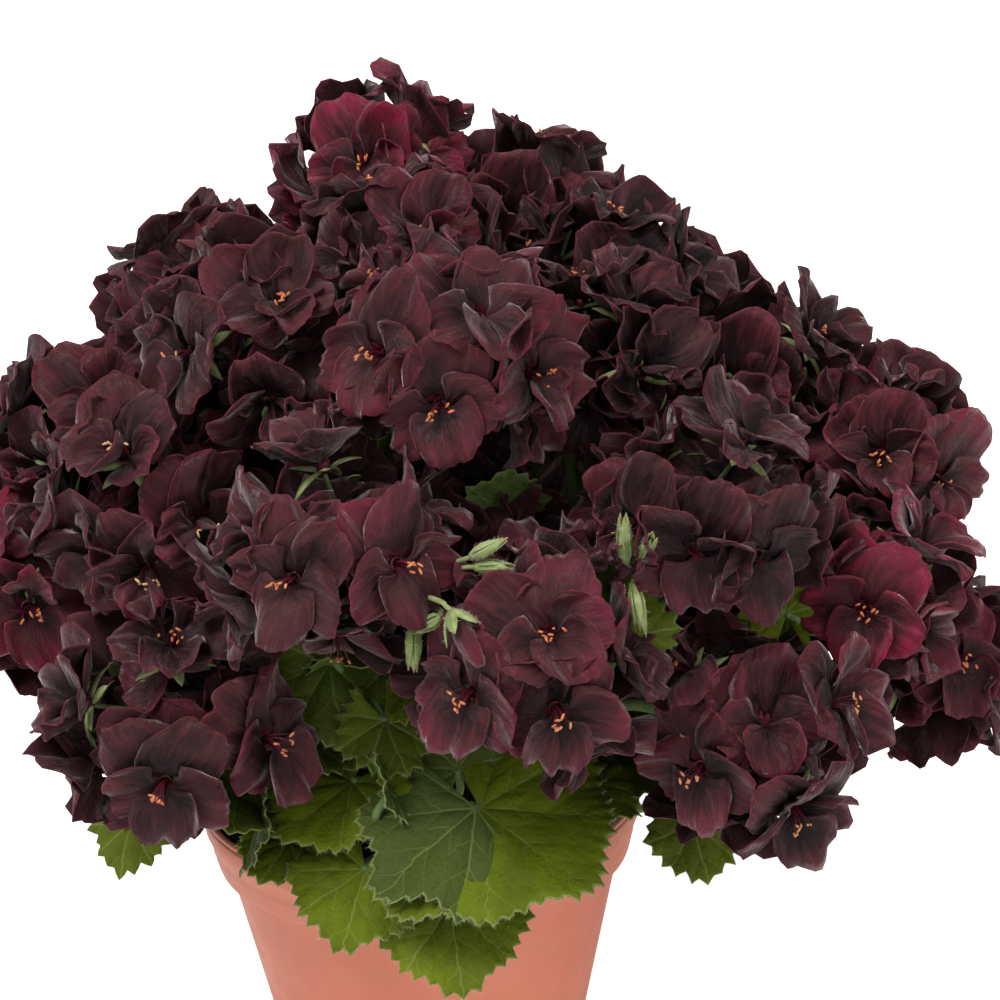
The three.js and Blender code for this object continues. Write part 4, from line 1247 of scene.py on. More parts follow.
leaf_finish, tree, shader = new_material("hairy_leaf")
angle, distance, along = attribute(tree, "place")
young, grey_and_shade, front = attribute(tree, "tint")
colour, patches = mottled(tree, LEAF_DEEP, LEAF_MIDDLE, 38.0, 0.3)
veins = use_group(tree, hand, Angle=angle, Distance=distance, Spacing=VEIN_SPACING, Seed=grey_and_shade)
ripe = calc(tree, "MULTIPLY", young, between(tree, patches["Patches"], 0.0, 1.0, 0.5, 1.0))
colour = layered(
    tree, colour,
    (between(tree, along, 0.1, 1.0, 0.0, 0.5), LEAF_MIDDLE),
    (ripe, LEAF_YOUNG),
    # grey: partly the leaf's own duller tone, partly painted shade on blades that lie less lit
    (calc(tree, "MULTIPLY", grey_and_shade, 0.85), LEAF_GREY_AND_SHADE),
    (between(tree, front, 0.0, 1.0, 0.8, 0.0), LEAF_BACK),
    (calc(tree, "MULTIPLY", veins["Veins"], 0.56), LEAF_VEIN),
    (between(tree, along, 0.972, 0.995, 0.0, 0.7), LEAF_EDGE),
)
colour, hairs = haired(tree, colour, 0.012, 1800.0, 0.5)
height = calc(tree, "ADD", veins["Relief"], calc(tree, "MULTIPLY", hairs, 0.3))
fill(tree, shader, {
    "Base Color": colour,
    "Roughness": between(tree, patches["Specks"], 0.0, 1.0, 0.50, 0.66),
    "Specular IOR Level": 0.06,
    "Normal": bumped(tree, height, 0.45, 0.0007),
})

stalk_finish, tree, shader = new_material("hairy_stalk")
colour, _ = mottled(tree, STALK_DARK, STALK_LIGHT, 80.0, 0.4)
colour, hairs = haired(tree, colour, 0.25, 2200.0, 0.6)
fill(tree, shader, {"Base Color": colour, "Normal": bumped(tree, hairs, DOWN_STRENGTH, DOWN_DEPTH), **DOWNY})

sepal_finish, tree, shader = new_material("hairy_sepal")
across, along, _ = attribute(tree, "place")
colour, _ = mottled(tree, SEPAL_GREEN, SEPAL_PALE, 160.0, 0.4)
colour = layered(
    tree, colour,
    (between(tree, calc(tree, "ABSOLUTE", across), 0.0, 0.28, 0.55, 0.0), SEPAL_RIB),
    (between(tree, along, 0.8, 1.0, 0.0, 0.5), SEPAL_TIP),
)
colour, hairs = haired(tree, colour, 0.2, 2600.0, 0.5)
fill(tree, shader, {"Base Color": colour, "Normal": bumped(tree, hairs, DOWN_STRENGTH, DOWN_DEPTH), **DOWNY})

hair_finish, tree, shader = new_material("pale_hair")
colour, _ = mottled(tree, HAIR_DARK, HAIR_LIGHT, 200.0, 0.5)
fill(tree, shader, {"Base Color": colour, "Roughness": 0.5})
print("materials:", leaf_finish.name, stalk_finish.name, sepal_finish.name, hair_finish.name)

# %% [markdown]
# ## Sepals and flower stalks
# Every flower hangs on a short stalk that comes from the end of its head's peduncle. Behind the petals
# stand five pointed, hairy green sepals. They show wherever a flower is seen from the side or from behind.

# %% Sepals
SEPALS = 5
SEPAL_LENGTH = 12.0
SEPAL_HALF_WIDTH = 1.9
SEPAL_THICKNESS = 0.35
SEPAL_GRID = (2, 5)  # columns and rows
SEPAL_OUT = 0.8  # the share of a sepal's lean that is outward
SEPAL_START = 0.9  # mm from the middle of the calyx
FIRST_SEPAL = 36  # degrees from the top, between two petals
CALYX_BEHIND = 9.2  # mm behind the flower's face
KEEL = 0.35  # depth, as a share of the half width
PEDICEL_RADIUS = 0.75
SEAT_SHARE = 0.62 * 0.7947  # where the peduncle ends, as a share of the head's reach


def add_sepal(shape, foot, way, back, seed, length, half_width):
    """A pointed, keeled sepal that leaves its foot along one way and bends towards another: its grid."""
    columns, rows = SEPAL_GRID
    along = np.linspace(0, 1, rows + 1)[:, None]
    x = np.linspace(-1, 1, columns + 1)[None, :]
    side = unit(np.cross(way, back))
    bend = 0.30 + spread(seed, 1, 9, 0.5)
    spine = foot + length * (along * way + along ** 2 * bend * back)
    half = half_width * np.sin(math.pi * along ** 0.8 * 0.97 + 0.09) ** 0.8
    keel = -KEEL * half * (1 - np.abs(x))
    grid = spine[:, None, :] + (x * half)[..., None] * side + keel[..., None] * unit(back)
    points, faces, mark = sheet(grid, SEPAL_THICKNESS)
    place = np.stack([twice(x * np.ones_like(along)), twice(along * np.ones_like(x)), mark], axis=-1)
    shape.add(points, faces, place=place)
    return grid


def calyx(shape, centre, facing, top, seed):
    """The sepals round the back of a flower."""
    for s in range(SEPALS):
        way = turned(top, facing, math.radians(360 / SEPALS * s + FIRST_SEPAL + spread(seed, s, 7, 24)))
        lean = unit(way * SEPAL_OUT + facing * (1 - SEPAL_OUT) + facing * spread(seed, s, 8, 0.5))
        foot = centre + way * SEPAL_START
        add_sepal(shape, foot, lean, -facing, seed + s, SEPAL_LENGTH, SEPAL_HALF_WIDTH)


def seat_of(head_name):
    """Where a head's peduncle ends and its flower stalks start."""
    return hub_of(head_name) - axis_of(head_name) * HEADS[head_name]["reach"] * SEAT_SHARE


for head_name, flowers in FLOWERS.items():
    sepals, stalks = Shape(), Shape()
    umbel = seat_of(head_name)
    for flower in flowers:
        if flower["kind"] == "inner":
            continue
        facing = flower["facing"]
        base = flower["centre"] - facing * CALYX_BEHIND * flower["size"]
        calyx(sepals, base + facing * 1.0, facing, flower["top"], flower["seed"])
        bend = (umbel + base) / 2 + axis_of(head_name) * 2 - facing * 2
        stalks.add(*tube(smooth_route([umbel, bend, base - facing * 1.5, base], 3), PEDICEL_RADIUS, 5))
    make_piece("sepals_" + head_name, sepals, sepal_finish, ["head_" + head_name])
    make_piece("stalks_" + head_name, stalks, stalk_finish, ["head_" + head_name])
print("triangles so far:", sum(TRIANGLES.values()))

# %% [markdown]
# Some flowers are still in bud. A bud is a narrow green point of five hairy sepals, and in one of them the
# rolled petals already hang out. They stick out of the heads on thin stalks, where the photograph has them.

# %% Buds
BUDS = [
    # head, foot, where the bud points (degrees right, degrees up), length, and length of the rolled petals
    ("middle", (20, -112, 237), (66, 30), 12, 0),
    ("middle", (21, -112, 234), (66, 6), 11, 0),
    ("middle", (14, -129, 228), (40, -44), 10, 14),
    ("middle", (11, -119, 222), (-75, -20), 8, 0),
    ("middle", (3, -117, 219), (-12, -78), 12, 0),
    ("cheek_right", (64, -108, 232), (-10, 76), 15, 0),
    ("cheek_right", (68, -107, 232), (30, 52), 12, 0),
    ("cheek_right", (66, -104, 224), (20, -66), 14, 0),
    ("side_left", (-100, -62, 193), (30, -32), 9, 0),
    ("side_left", (-104, -40, 215), (10, 60), 12, 0),
    ("crown_top", (7, 8, 312), (50, 10), 12, 0),
    ("crown_top", (9, 8, 313), (-50, 0), 9, 0),
]
BUD_HALF_WIDTH = 2.1
CLOSED, OPENED = 0.06, 0.75  # how far the sepals lean outward
BUD_SEEDS = 9000
HAIR_RADIUS, BUD_HAIR_RADIUS = 0.055, 0.06
BUD_HAIRS = 20  # on each sepal
ROLL_RINGS, ROLL_SIDES, ROLL_RADIUS = 9, 14, 3.4


def add_hair(shape, foot, tip, radius):
    """One hair: a thin three-sided spike from its foot to its tip."""
    way = unit(tip - foot)
    aside = aside_of(way)
    other = np.cross(way, aside)
    ring = [foot + radius * (math.cos(a) * aside + math.sin(a) * other) for a in (0, 2.1, 4.2)]
    shape.add([*ring, tip], [np.array([[0, 1, 3], [1, 2, 3], [2, 0, 3], [2, 1, 0]])])


def add_bud(greens, hairs, foot, facing, seed, length, opened):
    """The sepals of a bud with their hairs, round a green pod."""
    columns, rows = SEPAL_GRID
    top = unit(np.cross(facing, [0.3, 0.2, 0.9]))
    for s in range(SEPALS):
        outward = turned(top, facing, math.radians(360 / SEPALS * s + spread(seed, s, 7, 20)))
        lean = unit(outward * (opened + spread(seed, s, 8, 0.10)) + facing)
        bend = outward * (spread(seed, s, 9, 0.3) - 0.2) + facing * 0.3
        start = foot + outward * SEPAL_START
        grid = add_sepal(greens, start, lean, bend, seed + s, length, BUD_HALF_WIDTH)
        for h in range(BUD_HAIRS):
            row = 1 + int(chance(seed, s, 20 + h) * (rows - 1))
            root = grid[row, int(chance(seed, s, 40 + h) * (columns + 1))]
            wild = np.array([spread(seed + h, s, draw, 1.6) for draw in (61, 62, 63)])
            hair = unit(outward + wild) * (0.9 + 0.8 * chance(seed, s, 80 + h))
            add_hair(hairs, root, root + hair, BUD_HAIR_RADIUS)
    greens.add(*pod(foot + facing * length * 0.34, facing, length * 0.62, 1.5, 6, 5), place=(0.5, 0.4, 1))


def add_roll(shape, foot, facing, length, seed):
    """The rolled petals that hang out of an opening bud: a tube with folds along it."""
    reach = np.linspace(0, 1, ROLL_RINGS)
    radii = ROLL_RADIUS * np.sin(math.pi * (0.10 + 0.84 * reach)) ** 0.7
    route = foot + facing * (3 + reach[:, None] * length) + UP * (reach ** 2 * -1.5)[:, None]
    points, faces = tube(route, radii, ROLL_SIDES)
    around = np.tile(np.linspace(-2, 2, ROLL_SIDES), ROLL_RINGS)
    skin = ROLL_RINGS * ROLL_SIDES
    outward = unit(points[:skin] - np.repeat(route, ROLL_SIDES, axis=0))
    points[:skin] += outward * (0.5 * np.sin(around * 6))[:, None]
    across = np.append(around, [0, 0])
    along = np.append(np.repeat(0.3 + 0.66 * reach, ROLL_SIDES), [0.3, 0.96])
    place = np.stack([across, along, np.ones(skin + 2)], axis=-1)
    shape.add(points, faces, place=place, tint=(0.45, 0.7, seed % VEIN_SEEDS))


buds = {}
for number, (head_name, foot, way, length, petals_long) in enumerate(BUDS):
    greens, rolled, hairs = buds.setdefault(head_name, (Shape(), Shape(), Shape()))
    foot, facing, seed = np.array(foot, float), look(*way), BUD_SEEDS + 10 * number
    add_bud(greens, hairs, foot, facing, seed, length, OPENED if petals_long else CLOSED)
    umbel = seat_of(head_name)
    back = unit(umbel - foot)
    route = smooth_route([umbel, foot + back * 8 - facing * 2, foot + back * 2.5 - facing, foot], 4)
    greens.add(*tube(route, PEDICEL_RADIUS, 6), place=(0.6, 0.3, 1))
    if petals_long:
        add_roll(rolled, foot, facing, petals_long, seed)
for head_name, (greens, rolled, hairs) in buds.items():
    make_piece("buds_" + head_name, greens, sepal_finish, ["head_" + head_name])
    make_piece("bud_hairs_" + head_name, hairs, hair_finish, ["head_" + head_name])
    if rolled.count:
        make_piece("rolled_petals_" + head_name, rolled, petal_finish, ["head_" + head_name])
print("buds:", len(BUDS))

# %% [markdown]
# ## Shoots
# Nine shoots come out of the soil. Each one has a stem that rises and then leans out, a peduncle to each of
# its flower heads, and leaves on thin petioles. Their places follow the solids of the frame.

# %% The shoots and where their leaves are
SHOOTS = {
    # azimuth in degrees, distance from the pot's axis, and heads
    "shoot_centre": (90, 4, ["crown_top", "crown_back", "crest_right", "crest"]),
    "shoot_front": (272, 34, ["brow", "middle", "chin"]),
    "shoot_front_left": (222, 36, ["temple_left", "cheek_left", "skirt_left"]),
    "shoot_left": (176, 36, ["shoulder_left", "flank_left", "side_left"]),
    "shoot_front_right": (316, 36, ["temple_right", "cheek_right", "skirt_right"]),
    "shoot_right": (358, 38, ["shoulder_right", "flank_right", "side_right", "hem_right"]),
    "shoot_back_left": (134, 36, ["back_left_high", "back_left"]),
    "shoot_back": (92, 36, ["back_top", "back_middle", "back_low_left"]),
    "shoot_back_right": (44, 36, ["back_right_high", "back_right", "back_low_right"]),
}
SOIL_TOP = 102
STEM_FOOT = SOIL_TOP - 11
FORK_SHARE = 0.5
STEM_UPRIGHT, STEM_LEAN = 18, 14

FRONT_LEAVES = [
    # shoot, place of the blade's foot, azimuth, pitch, roll, length, and how young and how grey it is, the
    # grey being partly the leaf's own tone and partly painted shade: the first ones are the frame's, and the
    # others stand between the flowers
    # painted shade: this blade is made grey and dark, as it lies less lit than the blade behind it
    ("shoot_front", (18, -89, 148), 210, -30, -33, 37, 0.2, 0.8),
    ("shoot_front", (19, -84, 146), 318, -24, 22, 43, 0.75, 0.0),
    ("shoot_front", (-16, -84, 127), 250, -40, -8, 25, 0.7, 0.0),
    ("shoot_front", (9, -90, 117), 279, -50, 0, 26, 1.0, 0.1),
    ("shoot_front_left", (-19, -66, 148), 214, -26, -14, 27, 0.85, 0.0),
    ("shoot_front_left", (-39, -66, 129), 240, -24, -6, 17, 1.0, 0.0),
    ("shoot_front", (-7, -86, 153), 215, 62, -24, 13, 0.7, 0.9),
    ("shoot_front", (-20, -45, 172), 262, 30, 10, 24, 0.1, 0.5),
    ("shoot_front_left", (-47, -66, 138), 240, -66, 58, 17, 0.6, 0.9),
    ("shoot_front_left", (-90, -34, 122), 245, -64, 0, 15, 0.8, 0.3),
    ("shoot_front_right", (84, -56, 124), 290, -60, 0, 17, 0.75, 0.3),
    ("shoot_front_right", (54, -64, 143), 320, -30, 0, 16, 1.0, 0.0),
    ("shoot_front", (13, -74, 154), 98, 58, 0, 17, 0.5, 0.8),
    ("shoot_front_right", (60, -98, 204), 86, 74, 0, 20, 0.9, 0.3),
    ("shoot_right", (112, -74, 200), 92, 66, 0, 15, 1.0, 0.0),
    ("shoot_front", (-24, -60, 184), 285, -62, 10, 24, 0.15, 0.4),
    ("shoot_front", (-3, -58, 186), 262, -60, 0, 25, 0.1, 0.3),
    ("shoot_front", (-8, -72, 170), 300, -50, 20, 17, 0.3, 0.2),
    ("shoot_front", (0, -66, 178), 250, -40, 30, 12, 0.95, 0.0),
    ("shoot_centre", (54, 15, 214), 270, -70, 0, 26, 0.0, 0.1),
    ("shoot_left", (-54, 0, 168), 270, -70, 0, 26, 0.0, 0.1),
    ("shoot_centre", (-26, 10, 156), 270, -70, 0, 26, 0.0, 0.1),
    ("shoot_right", (118, 4, 172), 270, -70, 0, 22, 0.0, 0.1),
    ("shoot_front_right", (66, -22, 148), 280, -70, 0, 22, 0.1, 0.1),
    ("shoot_front", (4, -58, 186), 285, 42, -30, 22, 0.1, 0.6),
    ("shoot_front", (-24, -58, 196), 240, 55, 20, 18, 0.2, 0.7),
    ("shoot_front", (28, -62, 232), 290, 58, 0, 16, 0.1, 0.2),
    ("shoot_front_right", (67, -45, 207), 300, 66, 20, 17, 0.8, 0.6),
    ("shoot_front_right", (58, -52, 196), 270, 50, -20, 20, 0.3, 0.5),
    ("shoot_right", (117, -40, 200), 290, 38, 0, 14, 0.9, 0.2),
    ("shoot_left", (-106, -15, 213), 200, 40, 0, 13, 0.8, 0.3),
    ("shoot_left", (-92, -34, 186), 230, 20, 0, 18, 0.5, 0.3),
    ("shoot_centre", (12, 20, 306), 270, 30, 0, 12, 1.0, 0.3),
    ("shoot_centre", (10, -20, 236), 280, 40, 0, 24, 0.0, 0.1),
    ("shoot_centre", (44, -16, 222), 300, 45, 0, 26, 0.0, 0.1),
    ("shoot_front_right", (76, -20, 200), 290, 50, 0, 24, 0.0, 0.1),
    ("shoot_front_left", (-40, -30, 200), 230, 50, 0, 24, 0.0, 0.1),
]
FRAME_LEAVES = 6  # of the front leaves
LEAF_RINGS = [
    {"count": 9, "radius": 76, "height": 130, "pitch": -34, "length": 27, "from": -33, "to": 230},
    {"count": 8, "radius": 61, "height": 152, "pitch": -14, "length": 24, "from": -34, "to": 238},
    {"count": 7, "radius": 52, "height": 184, "pitch": 12, "length": 25, "from": 0, "to": 360},
]
STAGGER = 9
PROPPED = {"pitch": 26, "height": 12}  # the ends of the lowest ring lie on the leaves in front


def foot_of(shoot):
    """Where a shoot's stem stands in the soil."""
    azimuth, away, _ = SHOOTS[shoot]
    angle = math.radians(azimuth)
    return np.array([away * math.cos(angle), away * math.sin(angle), STEM_FOOT])


def fork_of(shoot):
    """Where a stem parts into peduncles, between its foot and the middle of its heads."""
    middle = np.mean([hub_of(head) for head in SHOOTS[shoot][2]], axis=0)
    return foot_of(shoot) * (1 - FORK_SHARE) + middle * FORK_SHARE


def stem_of(shoot):
    """Points along a stem: straight up from its foot, and then in one curve out to its fork."""
    foot, fork = foot_of(shoot), fork_of(shoot)
    low = foot + UP * STEM_UPRIGHT
    bend = low + UP * STEM_LEAN
    t = np.linspace(0, 1, 13)[:, None]
    curve = (1 - t) ** 2 * low + 2 * t * (1 - t) * bend + t ** 2 * fork
    return np.concatenate([[foot, (foot + low) / 2], curve])


def nearest_shoot(azimuth):
    """The outer shoot that stands in a direction."""
    outer = [name for name, (_, away, _) in SHOOTS.items() if away > 10]
    return min(outer, key=lambda name: abs((azimuth - SHOOTS[name][0] + 540) % 360 - 180))


def nearest_fork(place):
    """The shoot whose fork is nearest to a place."""
    return min(SHOOTS, key=lambda name: np.linalg.norm(fork_of(name) - np.array(place, float)))


def ring_leaves():
    """The leaves at the sides and behind, in three rings, by the rule that the frame's leaves follow."""
    leaves = []
    for k, ring in enumerate(LEAF_RINGS):
        count, sweep = ring["count"], ring["to"] - ring["from"]
        whole = sweep == 360
        for i in range(count):
            share = (i + (0.5 * k if whole else 0)) / (count if whole else count - 1)
            azimuth = ring["from"] + share * sweep + spread(k, i, 1, 8)
            radius = ring["radius"] + spread(k, i, 2, 6)
            height = ring["height"] + STAGGER * (i % 2) + spread(k, i, 3, 4)
            pitch = ring["pitch"] + spread(k, i, 5, 12)
            if k == 0 and i in (0, count - 1):
                pitch += PROPPED["pitch"]
                height += PROPPED["height"]
            angle = math.radians(azimuth)
            leaves.append((
                nearest_shoot(azimuth), (radius * math.cos(angle), radius * math.sin(angle), height),
                azimuth + spread(k, i, 4, 24), pitch, spread(k, i, 6, 16),
                ring["length"] * (0.9 + 0.25 * chance(k, i, 7)), 0.5 * chance(k, i, 8), 0.5 * chance(k, i, 9),
            ))
    return leaves


LEAVES = FRONT_LEAVES[:FRAME_LEAVES] + ring_leaves() + FRONT_LEAVES[FRAME_LEAVES:]
print("leaves:", len(LEAVES))

# %% One leaf
LEAF_SPAN, LEAF_SHORT = math.radians(158), 0.34  # half of a blade's angle, and how far its sides fall short
HALF_LEAVES = {0: (math.radians(88), 0.36)}  # the same for a blade of which one half shows
LEAF_THICKNESS = 0.45
LOBES, SCALLOPS = 0.055, 0.030  # shares of the length
TOOTH_WIDTH, TOOTH_DEPTH = 4.2, 2.3
WAVE, CUP_DEPTH, PUFF, RIPPLE = 0.05, 0.1, 0.035, 0.05  # shares of the length
TOOTH_TILT, FOOT_DIP = 0.5, 0.5
LEAF_GRIDS = {True: (4, 10), False: (2, 6)}  # columns to a tooth, and rows, for near leaves and the others
FIRST_LATE = len(LEAVES) - len(FRONT_LEAVES) + FRAME_LEAVES
NEAR_LATE = 12
NEAR = [*range(FRAME_LEAVES), *range(FIRST_LATE, FIRST_LATE + NEAR_LATE)]


def leaf_axes(azimuth, pitch, roll):
    """The directions in which a blade points, lies across and faces."""
    a, p = math.radians(azimuth), math.radians(pitch)
    out = np.array([math.cos(a) * math.cos(p), math.sin(a) * math.cos(p), math.sin(p)])
    side = unit(np.cross(UP, out))
    normal = unit(np.cross(out, side))
    return out, turned(side, out, math.radians(roll)), turned(normal, out, math.radians(roll))


def leaf_grid(leaf, seed):
    """The points of a blade, with the angle and distance from its foot and how far to its margin each is."""
    _, place, azimuth, pitch, roll, length, _, _ = leaf
    out, side, normal = leaf_axes(azimuth, pitch, roll)
    span, short = HALF_LEAVES.get(seed, (LEAF_SPAN, LEAF_SHORT))
    teeth = int(round(2 * span * length * 0.86 / TOOTH_WIDTH))
    columns_to_tooth, rows = LEAF_GRIDS[seed in NEAR]
    columns = teeth * columns_to_tooth
    angle = np.linspace(-span, span, columns + 1)[None, :]
    rho = np.linspace(0, 1, rows + 1)[:, None] ** 0.85

    # the margin: kidney-shaped, lobed between the main veins, and toothed
    reach = 1 - short * (np.abs(angle) / span) ** 1.6 + LOBES * np.cos(3.85 * math.pi * angle / span)
    reach = reach + SCALLOPS * np.cos(2 * math.pi * angle / VEIN_SPACING)
    tooth = np.linspace(0, teeth, columns + 1)
    big = np.array([0.55 + 0.75 * chance(seed, int(number), 11) for number in tooth])
    saw = (1 - np.abs(2 * (tooth % 1) - 1) ** 0.8) * big * TOOTH_DEPTH
    radius = length * reach * rho + (saw[None, :] - TOOTH_DEPTH * 0.45) * rho ** 9

    # the relief: cupped and waved as a whole, puffed up between the veins, and rippled towards the margin
    waved = WAVE * wave(3 * angle, seed, 1, 1, MARGIN_SHIFT)
    cup = (CUP_DEPTH * np.cos(2 * angle) + waved) * length * rho ** 1.3
    puff = PUFF * length * np.abs(np.sin(math.pi * angle / VEIN_SPACING)) * np.sin(math.pi * rho) ** 0.8
    ripple = RIPPLE * length * wave(7 * angle, seed, 1, 2, MARGIN_SHIFT) * rho ** 3
    ripple = ripple + TOOTH_TILT * np.sin(tooth * 2 * math.pi)[None, :] * rho ** 8
    height = cup + puff + ripple - FOOT_DIP * (1 - rho) ** 3
    grid = np.array(place, float) + (radius * np.cos(angle))[..., None] * out
    grid = grid + (radius * np.sin(angle))[..., None] * side + height[..., None] * normal
    return grid, angle * np.ones_like(rho), radius, rho * np.ones_like(angle)


def petiole_route(leaf):
    """Three points from a place on the stem to the back of the blade's foot."""
    shoot, place, azimuth, pitch, roll = leaf[:5]
    out, _, normal = leaf_axes(azimuth, pitch, roll)
    stem = stem_of(shoot)
    share = min(max((place[2] - SOIL_TOP) / 150, 0.25), 0.8)
    steps = np.concatenate([[0], np.cumsum(np.linalg.norm(np.diff(stem, axis=0), axis=1))])
    start = np.array([np.interp(share * steps[-1], steps, stem[:, k]) for k in range(3)])
    place = np.array(place, float)
    return [start, place - out * 7 - normal * 8, place - normal * 0.3]


print("leaves drawn finely:", len(NEAR))

# %% Leaves, stems and peduncles, shoot by shoot
HAIR_LENGTH = 1.1
HAIRS_TO_STEP = 3  # between two points of the margin
HAIR_WILDNESS = 1.4
PETIOLE_RADIUS, PEDUNCLE_RADIUS, BRANCH_RADIUS = 1.3, 1.9, 1.6
STEM_RADII = (3.7, 3.0)  # at its foot and its fork
NECK = 14  # mm of straight peduncle under a head
KNEE = UP * 3


def add_margin_hairs(hairs, grid, seed):
    """Hairs that stand out from the margin of a blade."""
    margin = grid[-1]
    outward = unit(margin - grid[-3])
    for k in range(len(margin) - 1):
        for extra in range(HAIRS_TO_STEP):
            share = chance(seed, k, 20 + extra)
            foot = margin[k] * (1 - share) + margin[k + 1] * share - outward[k] * 0.1
            lean = np.array([spread(seed, k, row + extra, HAIR_WILDNESS) for row in (30, 40, 50)])
            hair = unit(outward[k] + lean) * HAIR_LENGTH * (0.6 + chance(seed, k, 60 + extra))
            add_hair(hairs, foot, foot + hair, HAIR_RADIUS)


def add_leaf(blades, stalks, leaf, seed):
    """A blade, with its petiole where the whole blade shows: its grid."""
    grid, angle, radius, rho = leaf_grid(leaf, seed)
    points, faces, mark = sheet(grid, LEAF_THICKNESS)
    place = np.stack([twice(angle), twice(radius), twice(rho)], axis=-1)
    tint = np.stack([np.full(len(mark), leaf[6]), np.full(len(mark), leaf[7]), mark], axis=-1)
    blades.add(points, faces, place=place, tint=tint)
    if seed not in HALF_LEAVES:
        stalks.add(*tube(smooth_route(petiole_route(leaf), 6), PETIOLE_RADIUS, 7))
    return grid


def add_peduncle(stalks, fork, head_name):
    """A peduncle from its stem's fork to a head's seat, and the knob that it ends in."""
    axis, seat = axis_of(head_name), HEADS[head_name]["reach"] * SEAT_SHARE
    neck = hub_of(head_name) - axis * (seat + NECK)
    knots = [fork, (fork + neck) / 2 + KNEE, neck, hub_of(head_name) - axis * seat]
    stalks.add(*tube(smooth_route(knots, 5), PEDUNCLE_RADIUS, 8))
    stalks.add(*pod(hub_of(head_name) - axis * (seat - 1), axis, 6, 3.0, 8, 5))


def add_inner_umbel(stalks, fork, umbel):
    """A side branch to an inner umbel, and the stalks of its flowers."""
    hub = np.array(INNER_UMBELS[umbel][0], float)
    stalks.add(*tube(smooth_route([fork, (fork + hub) / 2 + KNEE, hub], 4), BRANCH_RADIUS, 6))
    for flower in UMBELS[umbel]:
        stalks.add(*tube([hub, flower["centre"] - flower["facing"] * 7], PEDICEL_RADIUS, 4))


for shoot, (_, _, heads) in SHOOTS.items():
    blades, stalks, hairs = Shape(), Shape(), Shape()
    for seed, leaf in enumerate(LEAVES):
        if leaf[0] == shoot:
            grid = add_leaf(blades, stalks, leaf, seed)
            if seed in NEAR:
                add_margin_hairs(hairs, grid, seed)
    stem, fork = stem_of(shoot), fork_of(shoot)
    stalks.add(*tube(stem, np.linspace(*STEM_RADII, len(stem)), 12))
    for head_name in heads:
        add_peduncle(stalks, fork, head_name)
    for umbel, (place, _) in INNER_UMBELS.items():
        if nearest_fork(place) == shoot:
            add_inner_umbel(stalks, fork, umbel)
    short_name = shoot.removeprefix("shoot_")
    make_piece("stems_" + short_name, stalks, stalk_finish, [shoot])
    if blades.count:
        make_piece("leaves_" + short_name, blades, leaf_finish, [shoot])
    if hairs.count:
        make_piece("leaf_hairs_" + short_name, hairs, hair_finish, [shoot])
print("triangles so far:", sum(TRIANGLES.values()))

# %% [markdown]
# ## The pot
# A nursery pot is thermoformed or moulded from thin plastic: a tapered wall, a wider collar with a faint
# step in it, a thin groove under the rolled lip, and drain holes in the foot. It is turned from one outline
# here, finer than the frame's solid but on the same lines, and the drain holes are cut by a modifier.

# %% The pot's outline
POT_SIDES = 128
POT_OUTLINE = [
    # radius and height: up the outside from the middle of the foot, over the lip and down the inside
    (0, 0), (39, 0), (40.6, 0.2), (41.7, 0.9), (42.2, 2.2), (52, 46.5), (62.4, 92.6), (62.6, 93.4),
    (63.4, 94.0), (65.2, 94.2), (65.9, 94.6), (66.2, 95.4), (67.3, 100), (67.5, 100.5), (67.5, 101),
    (68.6, 106), (69.2, 106.5), (69.5, 107.2), (69.8, 111.2), (69.6, 111.8), (69.1, 112.2), (69.1, 112.8),
    (69.7, 113.1),
    (70.2, 113.6), (70.3, 114.1), (70.0, 114.7), (69.4, 115.0), (68.9, 114.9), (68.4, 114.5), (68.1, 113.4),
    (66.6, 106), (63.6, 95.5), (60.6, 93.2), (60.3, 92.0), (50, 46.5), (40.2, 3.4), (39.4, 2.7), (38, 2.6),
    (0, 2.6),
]
POT_DARK = (0.670, 0.194, 0.118, 1)
POT_LIGHT = (0.780, 0.258, 0.158, 1)
# painted shade in the groove under the lip
POT_GROOVE_SHADE = (0.120, 0.030, 0.016, 1)
POT_WORN = (0.640, 0.260, 0.170, 1)
GROOVE_HEIGHT = 0.1124  # metres
DRAIN = {"count": 4, "radius": 5, "pitch_radius": 27, "from": -3, "length": 9, "sides": 24}

pot_finish, tree, shader = new_material("terracotta_plastic")
where = object_place(tree)
colour, patches = mottled(tree, POT_DARK, POT_LIGHT, 18.0, 0.6)
height = node(tree, "SeparateXYZ", {0: where}).outputs[2]
from_groove = calc(tree, "ABSOLUTE", calc(tree, "SUBTRACT", height, GROOVE_HEIGHT))
fill(tree, shader, {
    "Base Color": layered(
        tree, colour,
        # painted shade: a dark line along the groove under the lip
        (between(tree, from_groove, 0.0002, 0.0007, 0.75, 0.0), POT_GROOVE_SHADE),
        (between(tree, patches["Specks"], 0.62, 0.85, 0.0, 0.35), POT_WORN),
    ),
    "Roughness": between(tree, patches["Specks"], 0.0, 1.0, 0.36, 0.50),
    "Specular IOR Level": 0.35,
    "Normal": bumped(tree, noise(tree, where, 900.0, 3.0), 0.12, 0.0003),
})

pot_shape = Shape()
pot_shape.add(*lathe(POT_OUTLINE, POT_SIDES))
pot = make_piece("pot_shell", pot_shape, pot_finish, ["pot"])

